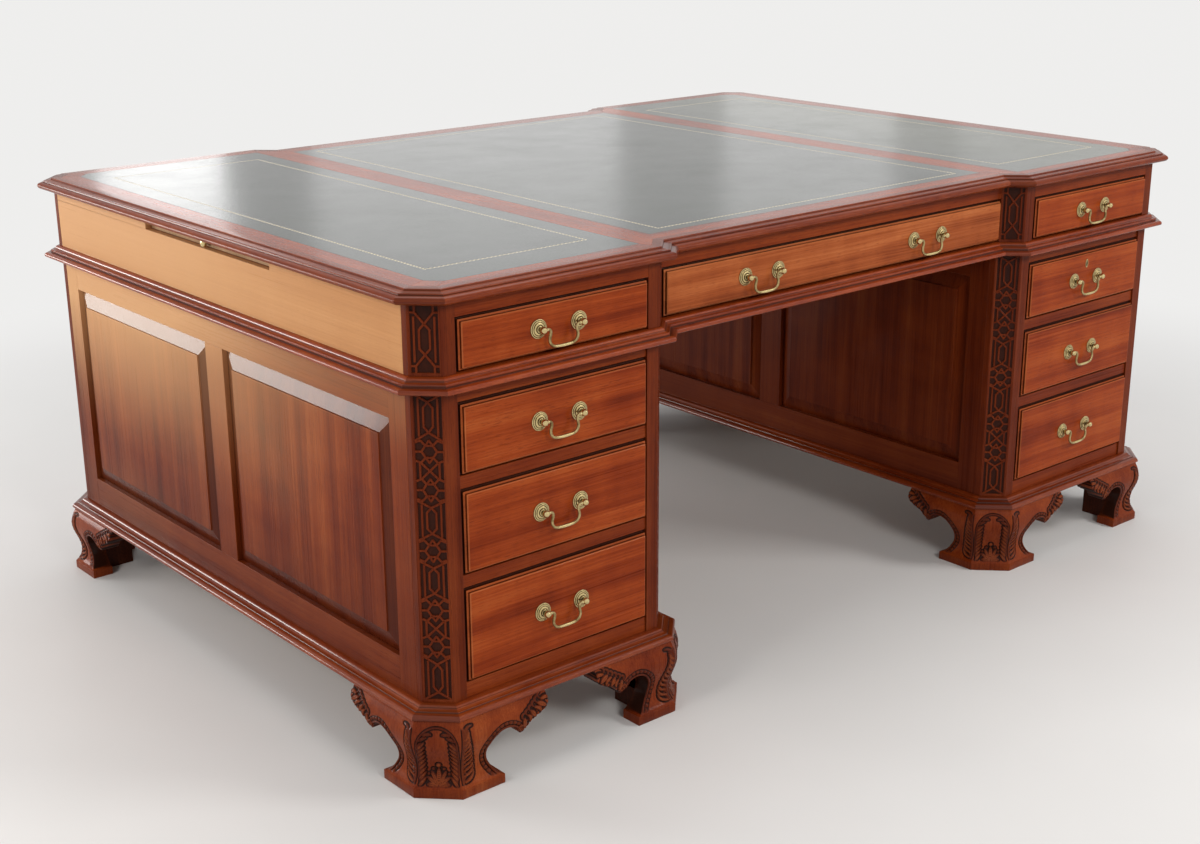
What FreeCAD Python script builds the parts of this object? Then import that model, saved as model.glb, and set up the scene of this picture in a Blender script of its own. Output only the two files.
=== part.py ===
import FreeCAD, Part
import Sketcher
import math
import os
import re

# Partners' pedestal desk: +Z up, the front towards -Y, the origin on the floor under the middle of the top.
# Lengths are in millimetres. The left half and the front half are drawn, the others are their mirror images.

SIZES = {
    # heights of the stacked parts, from the floor up
    "foot_height": 127.5,
    "base_height": 18.0,
    "pedestal_height": 491.5,
    "waist_height": 22.0,
    "frieze_height": 108.0,
    "top_thickness": 20.0,
    # plan of the frieze, which breaks back over the kneehole
    "frieze_length": 1825.0,
    "frieze_depth": 1241.0,
    "corner_cant": 35.0,
    "kneehole_width": 861.0,
    "break_depth": 33.5,
    "pedestal_setback": 2.5,
    # mouldings: how far each stands out, and how deep it is let in under or behind the work
    "top_projection": 27.0,
    "top_seat": 14.0,
    "waist_projection": 26.5,
    "waist_seat": 12.0,
    "base_projection": 28.0,
    "base_seat": 45.0,
    # leather panels in the top
    "leather_thickness": 1.6,
    "leather_end_margin": 45.0,
    "leather_front_margin": 34.0,
    "leather_cant": 22.0,
    "leather_centre_margin": 43.0,
    "leather_bar_width": 58.0,
    # posts at the canted corners, with a sunk ground for the fret
    "post_width": 58.0,
    "post_depth": 48.0,
    "fret_border": 4.5,
    "fret_sink": 2.5,
    "fret_end_margin": 5.0,
    # boards and rails
    "end_thickness": 24.0,
    "frieze_rail_height": 25.0,
    "rail_depth": 24.0,
    "drawer_rail_depth": 60.0,
    "partition_thickness": 20.0,
    "dust_board_thickness": 15.0,
    # graduated drawers of a pedestal, the rails above, between and below them; the bottom drawer takes what is left
    "pedestal_top_rail": 22.5,
    "top_drawer_height": 113.0,
    "middle_drawer_height": 136.0,
    "drawer_rail_height": 20.0,
    "pedestal_bottom_rail": 25.5,
    "rail_setback": 3.0,
    # drawers
    "front_thickness": 19.0,
    "front_gap": 1.5,
    "front_sink": 5.0,
    "front_lip": 2.5,
    "front_step": 0.5,
    "front_ledge": 3.0,
    "front_proud": 6.0,
    "front_chamfer": 1.5,
    "side_thickness": 10.0,
    "side_drop": 9.0,
    "bottom_thickness": 6.0,
    "bottom_rise": 8.0,
    "frieze_drawer_length": 560.0,
    "pedestal_drawer_length": 570.0,
    "run_gap": 0.3,
    "runner_width": 60.0,
    "guide_height": 14.0,
    # framed sides of a pedestal with raised and fielded panels
    "stile_width": 44.0,
    "muntin_width": 59.0,
    "side_top_rail": 55.0,
    "side_bottom_rail": 56.0,
    "panel_tongue": 7.0,
    "tongue_thickness": 6.0,
    "panel_bevel": 30.0,
    "bevel_rise": 8.0,
    "field_step": 2.5,
    "panel_proud": 1.0,
    # cupboard doors at the back
    "door_thickness": 22.0,
    "door_stile": 52.0,
    "door_rail": 58.0,
    "hinge_gap": 2.2,
    "leaf_thickness": 0.8,
    "leaf_width": 16.0,
    "hinge_length": 60.0,
    "hinge_inset": 60.0,
    "knuckle_radius": 3.6,
    "hinge_pin_radius": 1.7,
    "knuckle_gap": 0.3,
    # pull-out writing slides in the ends
    "slide_width": 420.0,
    "slide_length": 400.0,
    "slide_thickness": 19.4,
    "slide_setback": 11.0,
    "bearer_width": 60.0,
    "bearer_thickness": 6.0,
    "slide_guide_width": 15.0,
    # bracket feet
    "foot_projection": 32.0,
    "foot_seat": 8.0,
    "wing_length": 155.0,
    "block_size": 60.0,
    # swan-neck handles
    "handle_span": 76.7,
    "rosette_radius": 15.0,
    "rosette_height": 5.2,
    "ball_radius": 4.7,
    "ball_reach": 12.0,
    "wire_radius": 1.8,
    "leg_span": 51.0,
    "bail_drop": 28.0,
    "shoulder_radius": 5.0,
    "bend_radius": 11.0,
    "pin_gap": 0.05,
    "pin_depth": 2.5,
    "centre_handle_spacing": 424.0,
    # turned knobs
    "knob_radius": 7.5,
    "knob_length": 16.0,
    # keyhole plate of the drawer that locks
    "escutcheon_height": 17.0,
    "escutcheon_width": 8.0,
    "escutcheon_thickness": 1.0,
    "escutcheon_rise": 30.0,
    # every cutter stands this far past what it cuts
    "overrun": 5.0,
}

# Outline of a rosette with its ball post, as shares of their radii and reaches: rim, bevel, neck and ball
ROSETTE_SHARES = ((1.0, 0.0), (1.0, 0.35), (0.2, 1.0))
BALL_SHARES = ((1.0, -0.8), (1.0, 0.8))
# Turned outline of a knob: stem, neck and head, as shares of the head's radius and the knob's length
KNOB_SHARES = ((0.85, 0.0), (0.85, 0.1), (0.42, 0.3), (0.9, 0.6), (1.0, 0.76), (0.8, 0.93), (0.35, 1.0))
ROSETTE_SIDES = 8
KNOB_SIDES = 10
WIRE_SIDES = 6
BORE_SIDES = 8
KNUCKLE_SIDES = 8
# Radius of the keyhole plate's bowed ends and width of its slot, as shares of its width
ESCUTCHEON_BOW_SHARE = 0.6
ESCUTCHEON_SLOT_SHARE = 0.33
# Where the chord of a bend's middle lies, as a share of the bend's radius
BEND_CHORD_SHARE = 0.29

# Mouldings, from the lower arris up, as shares of the projection and the height; curves are cut in narrow flats
TOP_SHARES = ((0.58, 0.0), (0.86, 0.1), (1.0, 0.33), (0.97, 0.48), (0.86, 0.59), (0.6, 0.69), (0.58, 0.8),
              (0.14, 0.87), (0.08, 1.0))
WAIST_SHARES = ((0.82, 0.0), (0.96, 0.08), (1.0, 0.23), (0.96, 0.38), (0.82, 0.45), (0.62, 0.45), (0.62, 0.66),
                (0.34, 0.7), (0.26, 0.86), (0.08, 0.92), (0.05, 1.0))
BASE_SHARES = ((0.93, 0.0), (1.0, 0.16), (0.98, 0.34), (0.86, 0.5), (0.7, 0.55), (0.64, 0.57), (0.63, 0.66),
               (0.36, 0.76), (0.3, 0.92), (0.12, 0.97), (0.04, 1.0))
# Ogee of a bracket foot above its plinth, as shares of the projection and the foot's height
FOOT_SHARES = ((1.0, 0.0), (1.0, 0.122), (0.86, 0.15), (0.66, 0.23), (0.61, 0.36), (0.72, 0.49), (0.93, 0.62),
               (1.02, 0.76), (0.96, 0.9), (0.78, 1.0))
# Outline of a bracket wing, as shares of its length and the foot's height: plinth, ankle, arch, scroll, shoulder
WING_SHARES = ((0.43, 0.0), (0.43, 0.122), (0.31, 0.26), (0.265, 0.44), (0.29, 0.58), (0.37, 0.685),
               (0.47, 0.715), (0.57, 0.68), (0.637, 0.6), (0.68, 0.56), (0.72, 0.61), (0.78, 0.7), (0.87, 0.74),
               (0.96, 0.79), (1.0, 0.88), (0.985, 1.0))

doc = FreeCAD.newDocument("pedestal_desk")
sheet = doc.addObject("Spreadsheet::Sheet", "Desk")
for row, (alias, value) in enumerate(SIZES.items(), start=1):
    sheet.set("A%d" % row, alias)
    sheet.set("B%d" % row, str(value))
    sheet.setAlias("B%d" % row, alias)
doc.recompute()

# Levels and planes that follow from the sizes, written as formulas of them
BASE_Z = "foot_height"
PEDESTAL_Z = "(foot_height + base_height)"
WAIST_Z = "(foot_height + base_height + pedestal_height)"
FRIEZE_Z = "(foot_height + base_height + pedestal_height + waist_height)"
TOP_Z = "(foot_height + base_height + pedestal_height + waist_height + frieze_height)"
DESK_Z = "(foot_height + base_height + pedestal_height + waist_height + frieze_height + top_thickness)"
END_X = "(frieze_length / 2)"
FRONT_Y = "(frieze_depth / 2)"
BREAK_Y = "(frieze_depth / 2 - break_depth)"
KNEE_X = "(kneehole_width / 2)"
OUTER_X = "(frieze_length / 2 - pedestal_setback)"
FACE_Y = "(frieze_depth / 2 - pedestal_setback)"
MIDDLE_X = "((frieze_length / 2 - pedestal_setback + kneehole_width / 2) / 2)"
FRIEZE_RAIL_Z = "(%s - frieze_rail_height)" % TOP_Z
SLIDE_Z = "(%s - slide_thickness - 2 * run_gap)" % TOP_Z
EIGHTH_TURN = "tan(22.5 deg)"
UP = FreeCAD.Vector(0, 0, 1)
AXES = {"x": FreeCAD.Vector(1, 0, 0), "y": FreeCAD.Vector(0, 1, 0), "z": UP}
NODES = []


def bound(text):
    """A formula of size names as an expression on the sheet."""
    return re.sub(r"[a-z_]+", lambda m: "Desk." + m.group() if m.group() in SIZES else m.group(), text)


def size(text):
    """The value of a formula of size names, in millimetres."""
    result = sheet.evalExpression(bound(text))
    return float(getattr(result, "Value", result))


def minus(text):
    """The formula with its sign turned."""
    return "-(%s)" % text


def place(piece, **axes):
    """Ties a piece's place along the named axes to formulas."""
    for axis, text in axes.items():
        piece.setExpression("Placement.Base." + axis, bound(text))
    return piece


def board(name, x, y, z):
    """A squared board between two planes along each axis."""
    box = doc.addObject("Part::Box", name)
    for side, axis, (low, high) in (("Length", "x", x), ("Width", "y", y), ("Height", "z", z)):
        box.setExpression(side, bound("(%s) - (%s)" % (high, low)))
        place(box, **{axis: low})
    return box


def mirrored(source, axis, at="0"):
    """The mirror image of a piece across a plane square to the axis."""
    copy = doc.addObject("Part::Mirroring", source.Name + "_across_" + axis)
    copy.Source = source
    copy.Normal = AXES[axis]
    copy.setExpression("Base." + axis, bound(at))
    return copy


def with_mirror(pieces, axis, at="0"):
    """The pieces and their mirror images."""
    return list(pieces) + [mirrored(piece, axis, at) for piece in pieces]


def around_pedestal(pieces):
    """Pieces of the outer front corner at all four corners of both pedestals."""
    one_side = with_mirror(pieces, "x", minus(MIDDLE_X))
    return with_mirror(with_mirror(one_side, "y"), "x")


def four_ways(pieces):
    """Pieces of the front left quarter in all four quarters of the desk."""
    return with_mirror(with_mirror(pieces, "y"), "x")


def node(label, pieces, turn=0, **axes):
    """A named part of the desk that holds the pieces as separate solids."""
    group = doc.addObject("Part::Compound", label)
    group.Label = label
    group.Links = pieces
    group.Placement.Rotation = FreeCAD.Rotation(UP, turn)
    place(group, **axes)
    NODES.append(group)
    return group


def new_body(name):
    """An empty body for sketched features."""
    return doc.addObject("PartDesign::Body", name)


def arc_centre(start, end, radius):
    """Centre of the arc from start to end that turns left for a positive radius and right for a negative one."""
    chord = end - start
    half = chord.Length / 2
    rise = math.sqrt(max(radius * radius - half * half, 0.0))
    left = FreeCAD.Vector(-chord.y, chord.x, 0).normalize()
    return (start + end) / 2 + left * math.copysign(rise, radius)


def sketched(body, name, plane, outlines):
    """A sketch of closed outlines on one of the body's planes, each corner tied to two formulas.

    A corner with a third formula is reached by an arc of that radius, which is negative where it turns right.
    """
    sketch = body.newObject("Sketcher::SketchObject", name)
    sketch.AttachmentSupport = [(own_plane(body, plane), "")]
    sketch.MapMode = "FlatFace"
    for outline in outlines:
        spots = [FreeCAD.Vector(size(corner[0]), size(corner[1]), 0) for corner in outline]
        runs = []
        for index, corner in enumerate(outline):
            start, end = spots[index - 1], spots[index]
            if len(corner) == 2:
                runs.append((sketch.addGeometry(Part.LineSegment(start, end)), 1, 2))
                continue
            radius = size(corner[2])
            centre = arc_centre(start, end, radius)
            circle = Part.Circle(centre, UP, abs(radius))
            first, last = (start, end) if radius > 0 else (end, start)
            angles = [math.atan2(p.y - centre.y, p.x - centre.x) for p in (first, last)]
            ends = (1, 2) if radius > 0 else (2, 1)
            runs.append((sketch.addGeometry(Part.ArcOfCircle(circle, *angles)),) + ends)
            tie = sketch.addConstraint(Sketcher.Constraint("Radius", runs[-1][0], abs(radius)))
            sketch.setExpression("Constraints[%d]" % tie, bound("abs(%s)" % corner[2]))
        for index, corner in enumerate(outline):
            run, _, end = runs[index]
            after, start, _ = runs[(index + 1) % len(runs)]
            sketch.addConstraint(Sketcher.Constraint("Coincident", run, end, after, start))
            tie_point(sketch, run, end, corner)
    return sketch


def rectangle(u, v):
    """Corners of a rectangle between two limits each way."""
    return ((u[0], v[0]), (u[1], v[0]), (u[1], v[1]), (u[0], v[1]))


def padded(body, sketch, length, inwards=False):
    """The sketch raised to a solid."""
    pad = body.newObject("PartDesign::Pad", sketch.Name + "_pad")
    pad.Profile = sketch
    pad.Reversed = inwards
    pad.setExpression("Length", bound(length))
    return pad


def turned(name, sides, rings):
    """A turning in flats, its seat at y = 0; the rings give its radius at each reach towards -Y."""
    levels = []
    for radius, reach in rings:
        arm = FreeCAD.Vector(size(radius), -size(reach), 0)
        levels.append([FreeCAD.Rotation(AXES["y"], 360 * step / sides).multVec(arm) for step in range(sides)])
    flats = [levels[0], levels[-1]]
    for low, high in zip(levels, levels[1:]):
        flats += [[low[i - 1], low[i], high[i], high[i - 1]] for i in range(sides)]
    faces = [Part.Face(Part.makePolygon(flat + flat[:1])) for flat in flats]
    return solids(name, [Part.Solid(Part.Shell(faces))])


def offset_corner(point, turn, out):
    """A corner of the frieze outline moved out square to both of its sides."""
    return ("%s + %s * (%s) * %s" % (point[0], turn[0], out, turn[2]),
            "%s + %s * (%s) * %s" % (point[1], turn[1], out, turn[3]))


def frieze_outline(out):
    """The sixteen corners of the breakfront outline, moved out by a formula, from the right end leftwards round."""
    quarter = [
        ((END_X, FRONT_Y + " - corner_cant"), ("1", "1", "1", EIGHTH_TURN)),
        ((END_X + " - corner_cant", FRONT_Y), ("1", "1", EIGHTH_TURN, "1")),
        ((KNEE_X + " + break_depth", FRONT_Y), ("-1", "1", EIGHTH_TURN, "1")),
        ((KNEE_X, BREAK_Y), ("-1", "1", EIGHTH_TURN, "1")),
    ]
    corners = [offset_corner(point, turn, out) for point, turn in quarter]
    corners += [(minus(x), y) for x, y in reversed(corners)]
    corners += [(minus(x), minus(y)) for x, y in corners]
    return corners


def pedestal_outline():
    """The eight corners of the left pedestal's plan, as points, from its right side round by the back."""
    outer, inner = size(minus(OUTER_X)), size(minus(KNEE_X))
    face, cant = size(FACE_Y), size("corner_cant")
    return [FreeCAD.Vector(x, y, 0) for x, y in (
        (inner, -face + cant), (inner, face - cant), (inner - cant, face), (outer + cant, face),
        (outer, face - cant), (outer, -face + cant), (outer + cant, -face), (inner - cant, -face))]


def shaped_face(corners, spot):
    """A face through the corners; spot turns a pair of lengths into a point."""
    points = [spot(*corner) for corner in corners]
    return Part.Face(Part.makePolygon(points + points[:1]))


def scaled(shares, width, height):
    """Corners of an outline given as shares of a width and a height."""
    return [(u * width, v * height) for u, v in shares]


def mitred_lengths(corners, shares, projection, seat, low, height, closed=True):
    """Straight lengths of a moulding round the corners, each cut at half the angle of its corners.

    The corners run anticlockwise seen from above, so that the moulding stands out to the right of each length.
    """
    extra = size("overrun")
    count = len(corners)
    sides = range(count if closed else count - 1)
    along = [(corners[(i + 1) % count] - corners[i]).normalize() for i in sides]
    outward = [FreeCAD.Vector(t.y, -t.x, 0) for t in along]
    lengths = []
    for i in sides:
        here, there = corners[i], corners[(i + 1) % count]
        before = outward[i - 1] if closed or i > 0 else outward[i]
        after = outward[(i + 1) % len(outward)] if closed or i + 1 < len(outward) else outward[i]
        first = (before + outward[i]) / (1 + before.dot(outward[i]))
        last = (after + outward[i]) / (1 + after.dot(outward[i]))
        begin = here - along[i] * (projection + seat)
        face = shaped_face([(-seat, 0)] + scaled(shares, projection, height) + [(-seat, height)],
                           lambda o, z: begin + outward[i] * o + UP * (low + z))
        stick = face.extrude(along[i] * ((there - here).Length + 2 * (projection + seat)))
        near, far = -seat - extra, projection + extra
        plan = [here + first * near, here + first * far, there + last * far, there + last * near]
        saw = Part.Face(Part.makePolygon(plan + plan[:1]))
        saw.translate(UP * (low - extra))
        lengths.append(stick.common(saw.extrude(UP * (height + 2 * extra))).Solids[0])
    return lengths


def solids(name, shapes):
    """A document object that holds worked-out solids."""
    piece = doc.addObject("Part::Feature", name)
    piece.Shape = Part.makeCompound(shapes)
    return piece


def points_of(corners):
    """Corner formulas as points on the floor."""
    return [FreeCAD.Vector(size(x), size(y), 0) for x, y in corners]


# Top: a flat board with three recesses, lengths of moulding round it, and the leather

def leather_outlines():
    """Outlines of the left and the centre panel of leather; the left one's outer corners are canted."""
    bar = "(%s + break_depth / 2)" % KNEE_X
    x = (minus(END_X) + " + leather_end_margin", minus(bar) + " - leather_bar_width / 2")
    y = FRONT_Y + " - leather_front_margin"
    nook = (x[0] + " + leather_cant", y + " - leather_cant")
    left = ((x[0], minus(nook[1])), (nook[0], minus(y)), (x[1], minus(y)), (x[1], y), (nook[0], y), (x[0], nook[1]))
    middle_x = bar + " - leather_bar_width / 2"
    middle_y = BREAK_Y + " - leather_centre_margin"
    return left, rectangle((minus(middle_x), middle_x), (minus(middle_y), middle_y))


def make_top():
    body = new_body("top_panel")
    place(body, z=TOP_Z)
    plan = sketched(body, "top_plan", "XY_Plane", [frieze_outline("-top_seat")])
    padded(body, plan, "top_thickness")
    left, middle = leather_outlines()
    right = [(minus(u), v) for u, v in left]
    beds = sketched(body, "leather_beds", "XY_Plane", [left, middle, right])
    beds.setExpression("AttachmentOffset.Base.z", bound("top_thickness"))
    recess = body.newObject("PartDesign::Pocket", "leather_recess")
    recess.Profile = beds
    recess.setExpression("Length", bound("leather_thickness"))
    edge = mitred_lengths(points_of(frieze_outline("0")), TOP_SHARES, size("top_projection"), size("top_seat"),
                          size(TOP_Z), size("top_thickness"))
    node("top_board", [body, solids("top_edge", edge)])
    skins = []
    for name, outline in (("end_leather", left), ("middle_leather", middle)):
        skin = new_body(name)
        place(skin, z=DESK_Z + " - leather_thickness")
        padded(skin, sketched(skin, name + "_plan", "XY_Plane", [outline]), "leather_thickness")
        skins.append(skin)
    node("leather_panels", skins + [mirrored(skins[0], "x")])


# Posts: canted corners with a sunk ground for the fret

def canted_post(name, corners, cant, low, height):
    """A post with the given plan, whose canted face between two of its corners has a sunk ground."""
    body = new_body(name)
    place(body, z=low)
    padded(body, sketched(body, name + "_plan", "XY_Plane", [corners]), height)
    (ax, ay), (bx, by) = cant
    width = "sqrt(((%s) - (%s))^2 + ((%s) - (%s))^2)" % (bx, ax, by, ay)
    ux, uy = "((%s) - (%s)) / %s" % (bx, ax, width), "((%s) - (%s)) / %s" % (by, ay, width)
    ground = []
    for reach, sink in (("fret_border", "-overrun"), (width + " - fret_border", "-overrun"),
                        (width + " - fret_border", "fret_sink"), ("fret_border", "fret_sink")):
        ground.append(("%s + %s * (%s) - %s * (%s)" % (ax, ux, reach, uy, sink),
                       "%s + %s * (%s) + %s * (%s)" % (ay, uy, reach, ux, sink)))
    sunk = sketched(body, name + "_ground", "XY_Plane", [ground])
    sunk.setExpression("AttachmentOffset.Base.z", bound("fret_end_margin"))
    pocket = body.newObject("PartDesign::Pocket", name + "_sunk")
    pocket.Profile = sunk
    pocket.Reversed = True
    pocket.setExpression("Length", bound(height + " - 2 * fret_end_margin"))
    return body


def corner_post(name, x, y, low, height):
    """The post of a left front corner, whose faces lie at -x and -y."""
    cant = ((minus(x), minus(y) + " + corner_cant"), (minus(x) + " + corner_cant", minus(y)))
    inner_x, inner_y = minus(x) + " + post_width", minus(y) + " + post_depth"
    plan = cant + ((inner_x, minus(y)), (inner_x, inner_y), (minus(x), inner_y))
    return canted_post(name, plan, cant, low, height)


def make_posts():
    ends = four_ways([corner_post("frieze_corner_post", END_X, FRONT_Y, FRIEZE_Z, "frieze_height")])
    cant = ((minus(KNEE_X) + " - break_depth", minus(FRONT_Y)), (minus(KNEE_X), minus(BREAK_Y)))
    outer_x, inner_y = minus(KNEE_X) + " - post_width", minus(FRONT_Y) + " + post_width"
    plan = cant + ((minus(KNEE_X), inner_y), (outer_x, inner_y), (outer_x, minus(FRONT_Y)))
    breaks = four_ways([canted_post("frieze_break_post", plan, cant, FRIEZE_Z, "frieze_height")])
    node("frieze_posts", ends + breaks)
    post = corner_post("pedestal_corner_post", OUTER_X, FACE_Y, PEDESTAL_Z, "pedestal_height")
    node("pedestal_posts", around_pedestal([post]))


# Frieze: end boards round the slide's slot, rails, partitions, dust boards and the waist moulding

FRIEZE_INNER_X = "(frieze_length / 2 - end_thickness)"
OUTER_OPENING = ("-(frieze_length / 2) + post_width", "-(kneehole_width / 2) - post_width")
CENTRE_OPENING = ("-(kneehole_width / 2)", "kneehole_width / 2")
FRIEZE_OPENING_Z = (FRIEZE_Z, FRIEZE_RAIL_Z)
PARTITION_X = ("-(kneehole_width / 2 + post_width / 2 + partition_thickness / 2)",
               "-(kneehole_width / 2 + post_width / 2 - partition_thickness / 2)")
SLOT_Y = "(slide_width / 2 + run_gap)"
SLIDE_X = "(%s - slide_setback)" % END_X


def make_frieze():
    end = (minus(END_X), minus(FRIEZE_INNER_X))
    reach = "(%s - post_depth)" % FRONT_Y
    lower = board("end_board", end, (minus(reach), reach), (FRIEZE_Z, SLIDE_Z))
    upper = board("end_board_above", end, (minus(reach), minus(SLOT_Y)), (SLIDE_Z, TOP_Z))
    node("frieze_end_boards", with_mirror([lower] + with_mirror([upper], "y"), "x"))

    rail_z = (FRIEZE_RAIL_Z, TOP_Z)
    outer_rail = board("outer_rail", OUTER_OPENING, (minus(FRONT_Y), minus(FRONT_Y) + " + rail_depth"), rail_z)
    centre_rail = board("centre_rail", CENTRE_OPENING, (minus(BREAK_Y), minus(BREAK_Y) + " + rail_depth"), rail_z)
    behind = "(%s - post_width)" % FRONT_Y
    whole = board("long_partition", PARTITION_X, (minus(behind), behind), (FRIEZE_Z, TOP_Z))
    pocket = board("slide_pocket", (minus(SLIDE_X), minus(SLIDE_X) + " + slide_length + run_gap"),
                   (minus(SLOT_Y), SLOT_Y), (SLIDE_Z, TOP_Z + " + overrun"))
    partition = doc.addObject("Part::Cut", "long_partition_cleared")
    partition.Base = whole
    partition.Tool = pocket
    cross_y = ("-partition_thickness / 2", "partition_thickness / 2")
    outer_cross = board("outer_cross_board", (minus(FRIEZE_INNER_X), PARTITION_X[0]), cross_y, FRIEZE_OPENING_Z)
    centre_cross = board("centre_cross_board", (PARTITION_X[1], minus(PARTITION_X[1])), cross_y, FRIEZE_OPENING_Z)
    guide_z = (FRIEZE_Z, FRIEZE_Z + " + guide_height")
    guide_y = (minus(behind), "-partition_thickness / 2")
    guides = [
        board("outer_guide", (minus(FRIEZE_INNER_X), OUTER_OPENING[0]), guide_y, guide_z),
        board("inner_guide", (OUTER_OPENING[1], PARTITION_X[0]), guide_y, guide_z),
        board("centre_guide", (PARTITION_X[1], CENTRE_OPENING[0]), guide_y, guide_z),
    ]
    bearer_x = (minus(FRIEZE_INNER_X), PARTITION_X[0])
    bearer_y = (minus(SLOT_Y) + " - slide_guide_width", minus(SLOT_Y) + " - slide_guide_width + bearer_width")
    bearer = board("slide_bearer", bearer_x, bearer_y, (SLIDE_Z + " - bearer_thickness", SLIDE_Z))
    slide_guide = board("slide_guide", bearer_x, (bearer_y[0], minus(SLOT_Y)), (SLIDE_Z, TOP_Z))
    quarter = four_ways([outer_rail, bearer, slide_guide] + guides)
    halves = with_mirror([partition, outer_cross], "x") + with_mirror([centre_rail], "y")

    board_z = (WAIST_Z, FRIEZE_Z)
    seam = "(%s + break_depth)" % KNEE_X
    side_y = "(%s - waist_seat)" % FRONT_Y
    centre_y = "(%s - waist_seat)" % BREAK_Y
    side_x = (minus(END_X) + " + waist_seat", minus(seam) + " - waist_seat * " + EIGHTH_TURN)
    dust_side = new_body("side_dust_board")
    place(dust_side, z=WAIST_Z)
    cant_in = "(corner_cant - waist_seat * (1 - %s))" % EIGHTH_TURN
    plan = [(side_x[0], minus(side_y) + " + " + cant_in), (side_x[0] + " + " + cant_in, minus(side_y)),
            (side_x[1], minus(side_y)), (side_x[1], side_y), (side_x[0] + " + " + cant_in, side_y),
            (side_x[0], side_y + " - " + cant_in)]
    padded(dust_side, sketched(dust_side, "dust_plan", "XY_Plane", [plan]), "waist_height")
    dust_centre = board("centre_dust_board", (side_x[1], minus(side_x[1])), (minus(centre_y), centre_y), board_z)
    node("frieze_frame", quarter + halves + [centre_cross] + with_mirror([dust_side], "x") + [dust_centre])

    waist = mitred_lengths(points_of(frieze_outline("0")), WAIST_SHARES, size("waist_projection"),
                           size("waist_seat"), size(WAIST_Z), size("waist_height"))
    node("waist_moulding", [solids("waist_lengths", waist)])


# Pedestals: framed sides, drawer rails and runners, boards, base mouldings and feet

SIDE_PANEL_Y = ("muntin_width / 2", FACE_Y + " - post_depth - stile_width")
SIDE_PANEL_Z = (PEDESTAL_Z + " + side_bottom_rail", WAIST_Z + " - side_top_rail")
SIDE_X = (minus(OUTER_X), minus(OUTER_X) + " + end_thickness")
PEDESTAL_OPENING = (minus(OUTER_X) + " + post_width", minus(KNEE_X) + " - post_width")
DRAWER_TOPS = ["(%s - pedestal_top_rail)" % WAIST_Z]
DRAWER_BOTTOMS = []
for drawer_height in ("top_drawer_height", "middle_drawer_height"):
    DRAWER_BOTTOMS.append("(%s - %s)" % (DRAWER_TOPS[-1], drawer_height))
    DRAWER_TOPS.append("(%s - drawer_rail_height)" % DRAWER_BOTTOMS[-1])
DRAWER_BOTTOMS.append("(%s + pedestal_bottom_rail)" % PEDESTAL_Z)


def raised_panel(name, width, height, turn, **spot):
    """A raised and fielded panel with a tongue all round, its face towards -Y before it is turned about Z."""
    back = "tongue_thickness"
    tongue = board(name + "_tongue", (minus("panel_tongue"), width + " + panel_tongue"), ("0", back),
                   (minus("panel_tongue"), height + " + panel_tongue"))
    bevel = doc.addObject("Part::Wedge", name + "_bevel")
    field = ("panel_bevel", width + " - panel_bevel")
    field_z = ("panel_bevel", height + " - panel_bevel")
    limits = {"Xmin": field[0], "Xmax": field[1], "Zmin": field_z[0], "Zmax": field_z[1], "Ymin": "-bevel_rise",
              "Ymax": "0", "X2min": "run_gap", "X2max": width + " - run_gap", "Z2min": "run_gap",
              "Z2max": height + " - run_gap"}
    for limit, text in limits.items():
        bevel.setExpression(limit, bound(text))
    face = board(name + "_field", field, ("-bevel_rise - field_step", "-bevel_rise"), field_z)
    panel = doc.addObject("Part::MultiFuse", name)
    panel.Shapes = [tongue, bevel, face]
    panel.Refine = True
    panel.Placement.Rotation = FreeCAD.Rotation(UP, turn)
    return place(panel, **spot)


def grooved(member, panels):
    """A frame member with the groove that takes the panels' tongues."""
    cut = doc.addObject("Part::Cut", member.Name + "_grooved")
    cut.Base = member
    cut.Tool = panels
    return cut


def make_sides():
    width = "(%s) - (%s)" % (SIDE_PANEL_Y[1], SIDE_PANEL_Y[0])
    height = "(%s) - (%s)" % (SIDE_PANEL_Z[1], SIDE_PANEL_Z[0])
    panel = raised_panel("side_panel", width, height, -90, x=SIDE_X[0] + " + bevel_rise + field_step - panel_proud",
                         y=SIDE_PANEL_Y[1], z=SIDE_PANEL_Z[0])
    pair = doc.addObject("Part::Compound", "side_panel_pair")
    pair.Links = [panel, mirrored(panel, "y")]
    reach = "(%s - post_depth)" % FACE_Y
    rail_y = ("-(%s) + stile_width" % reach, reach + " - stile_width")
    members = [
        board("side_stile", SIDE_X, (SIDE_PANEL_Y[1], reach), (PEDESTAL_Z, WAIST_Z)),
        board("side_stile_front", SIDE_X, (minus(reach), minus(SIDE_PANEL_Y[1])), (PEDESTAL_Z, WAIST_Z)),
        board("side_lower_rail", SIDE_X, rail_y, (PEDESTAL_Z, SIDE_PANEL_Z[0])),
        board("side_upper_rail", SIDE_X, rail_y, (SIDE_PANEL_Z[1], WAIST_Z)),
        board("side_muntin", SIDE_X, (minus(SIDE_PANEL_Y[0]), SIDE_PANEL_Y[0]), SIDE_PANEL_Z),
    ]
    frame = [grooved(member, pair) for member in members]
    node("pedestal_side_frames", with_mirror(with_mirror(frame, "x", minus(MIDDLE_X)), "x"))
    node("pedestal_side_panels", with_mirror(with_mirror([pair], "x", minus(MIDDLE_X)), "x"))


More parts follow.
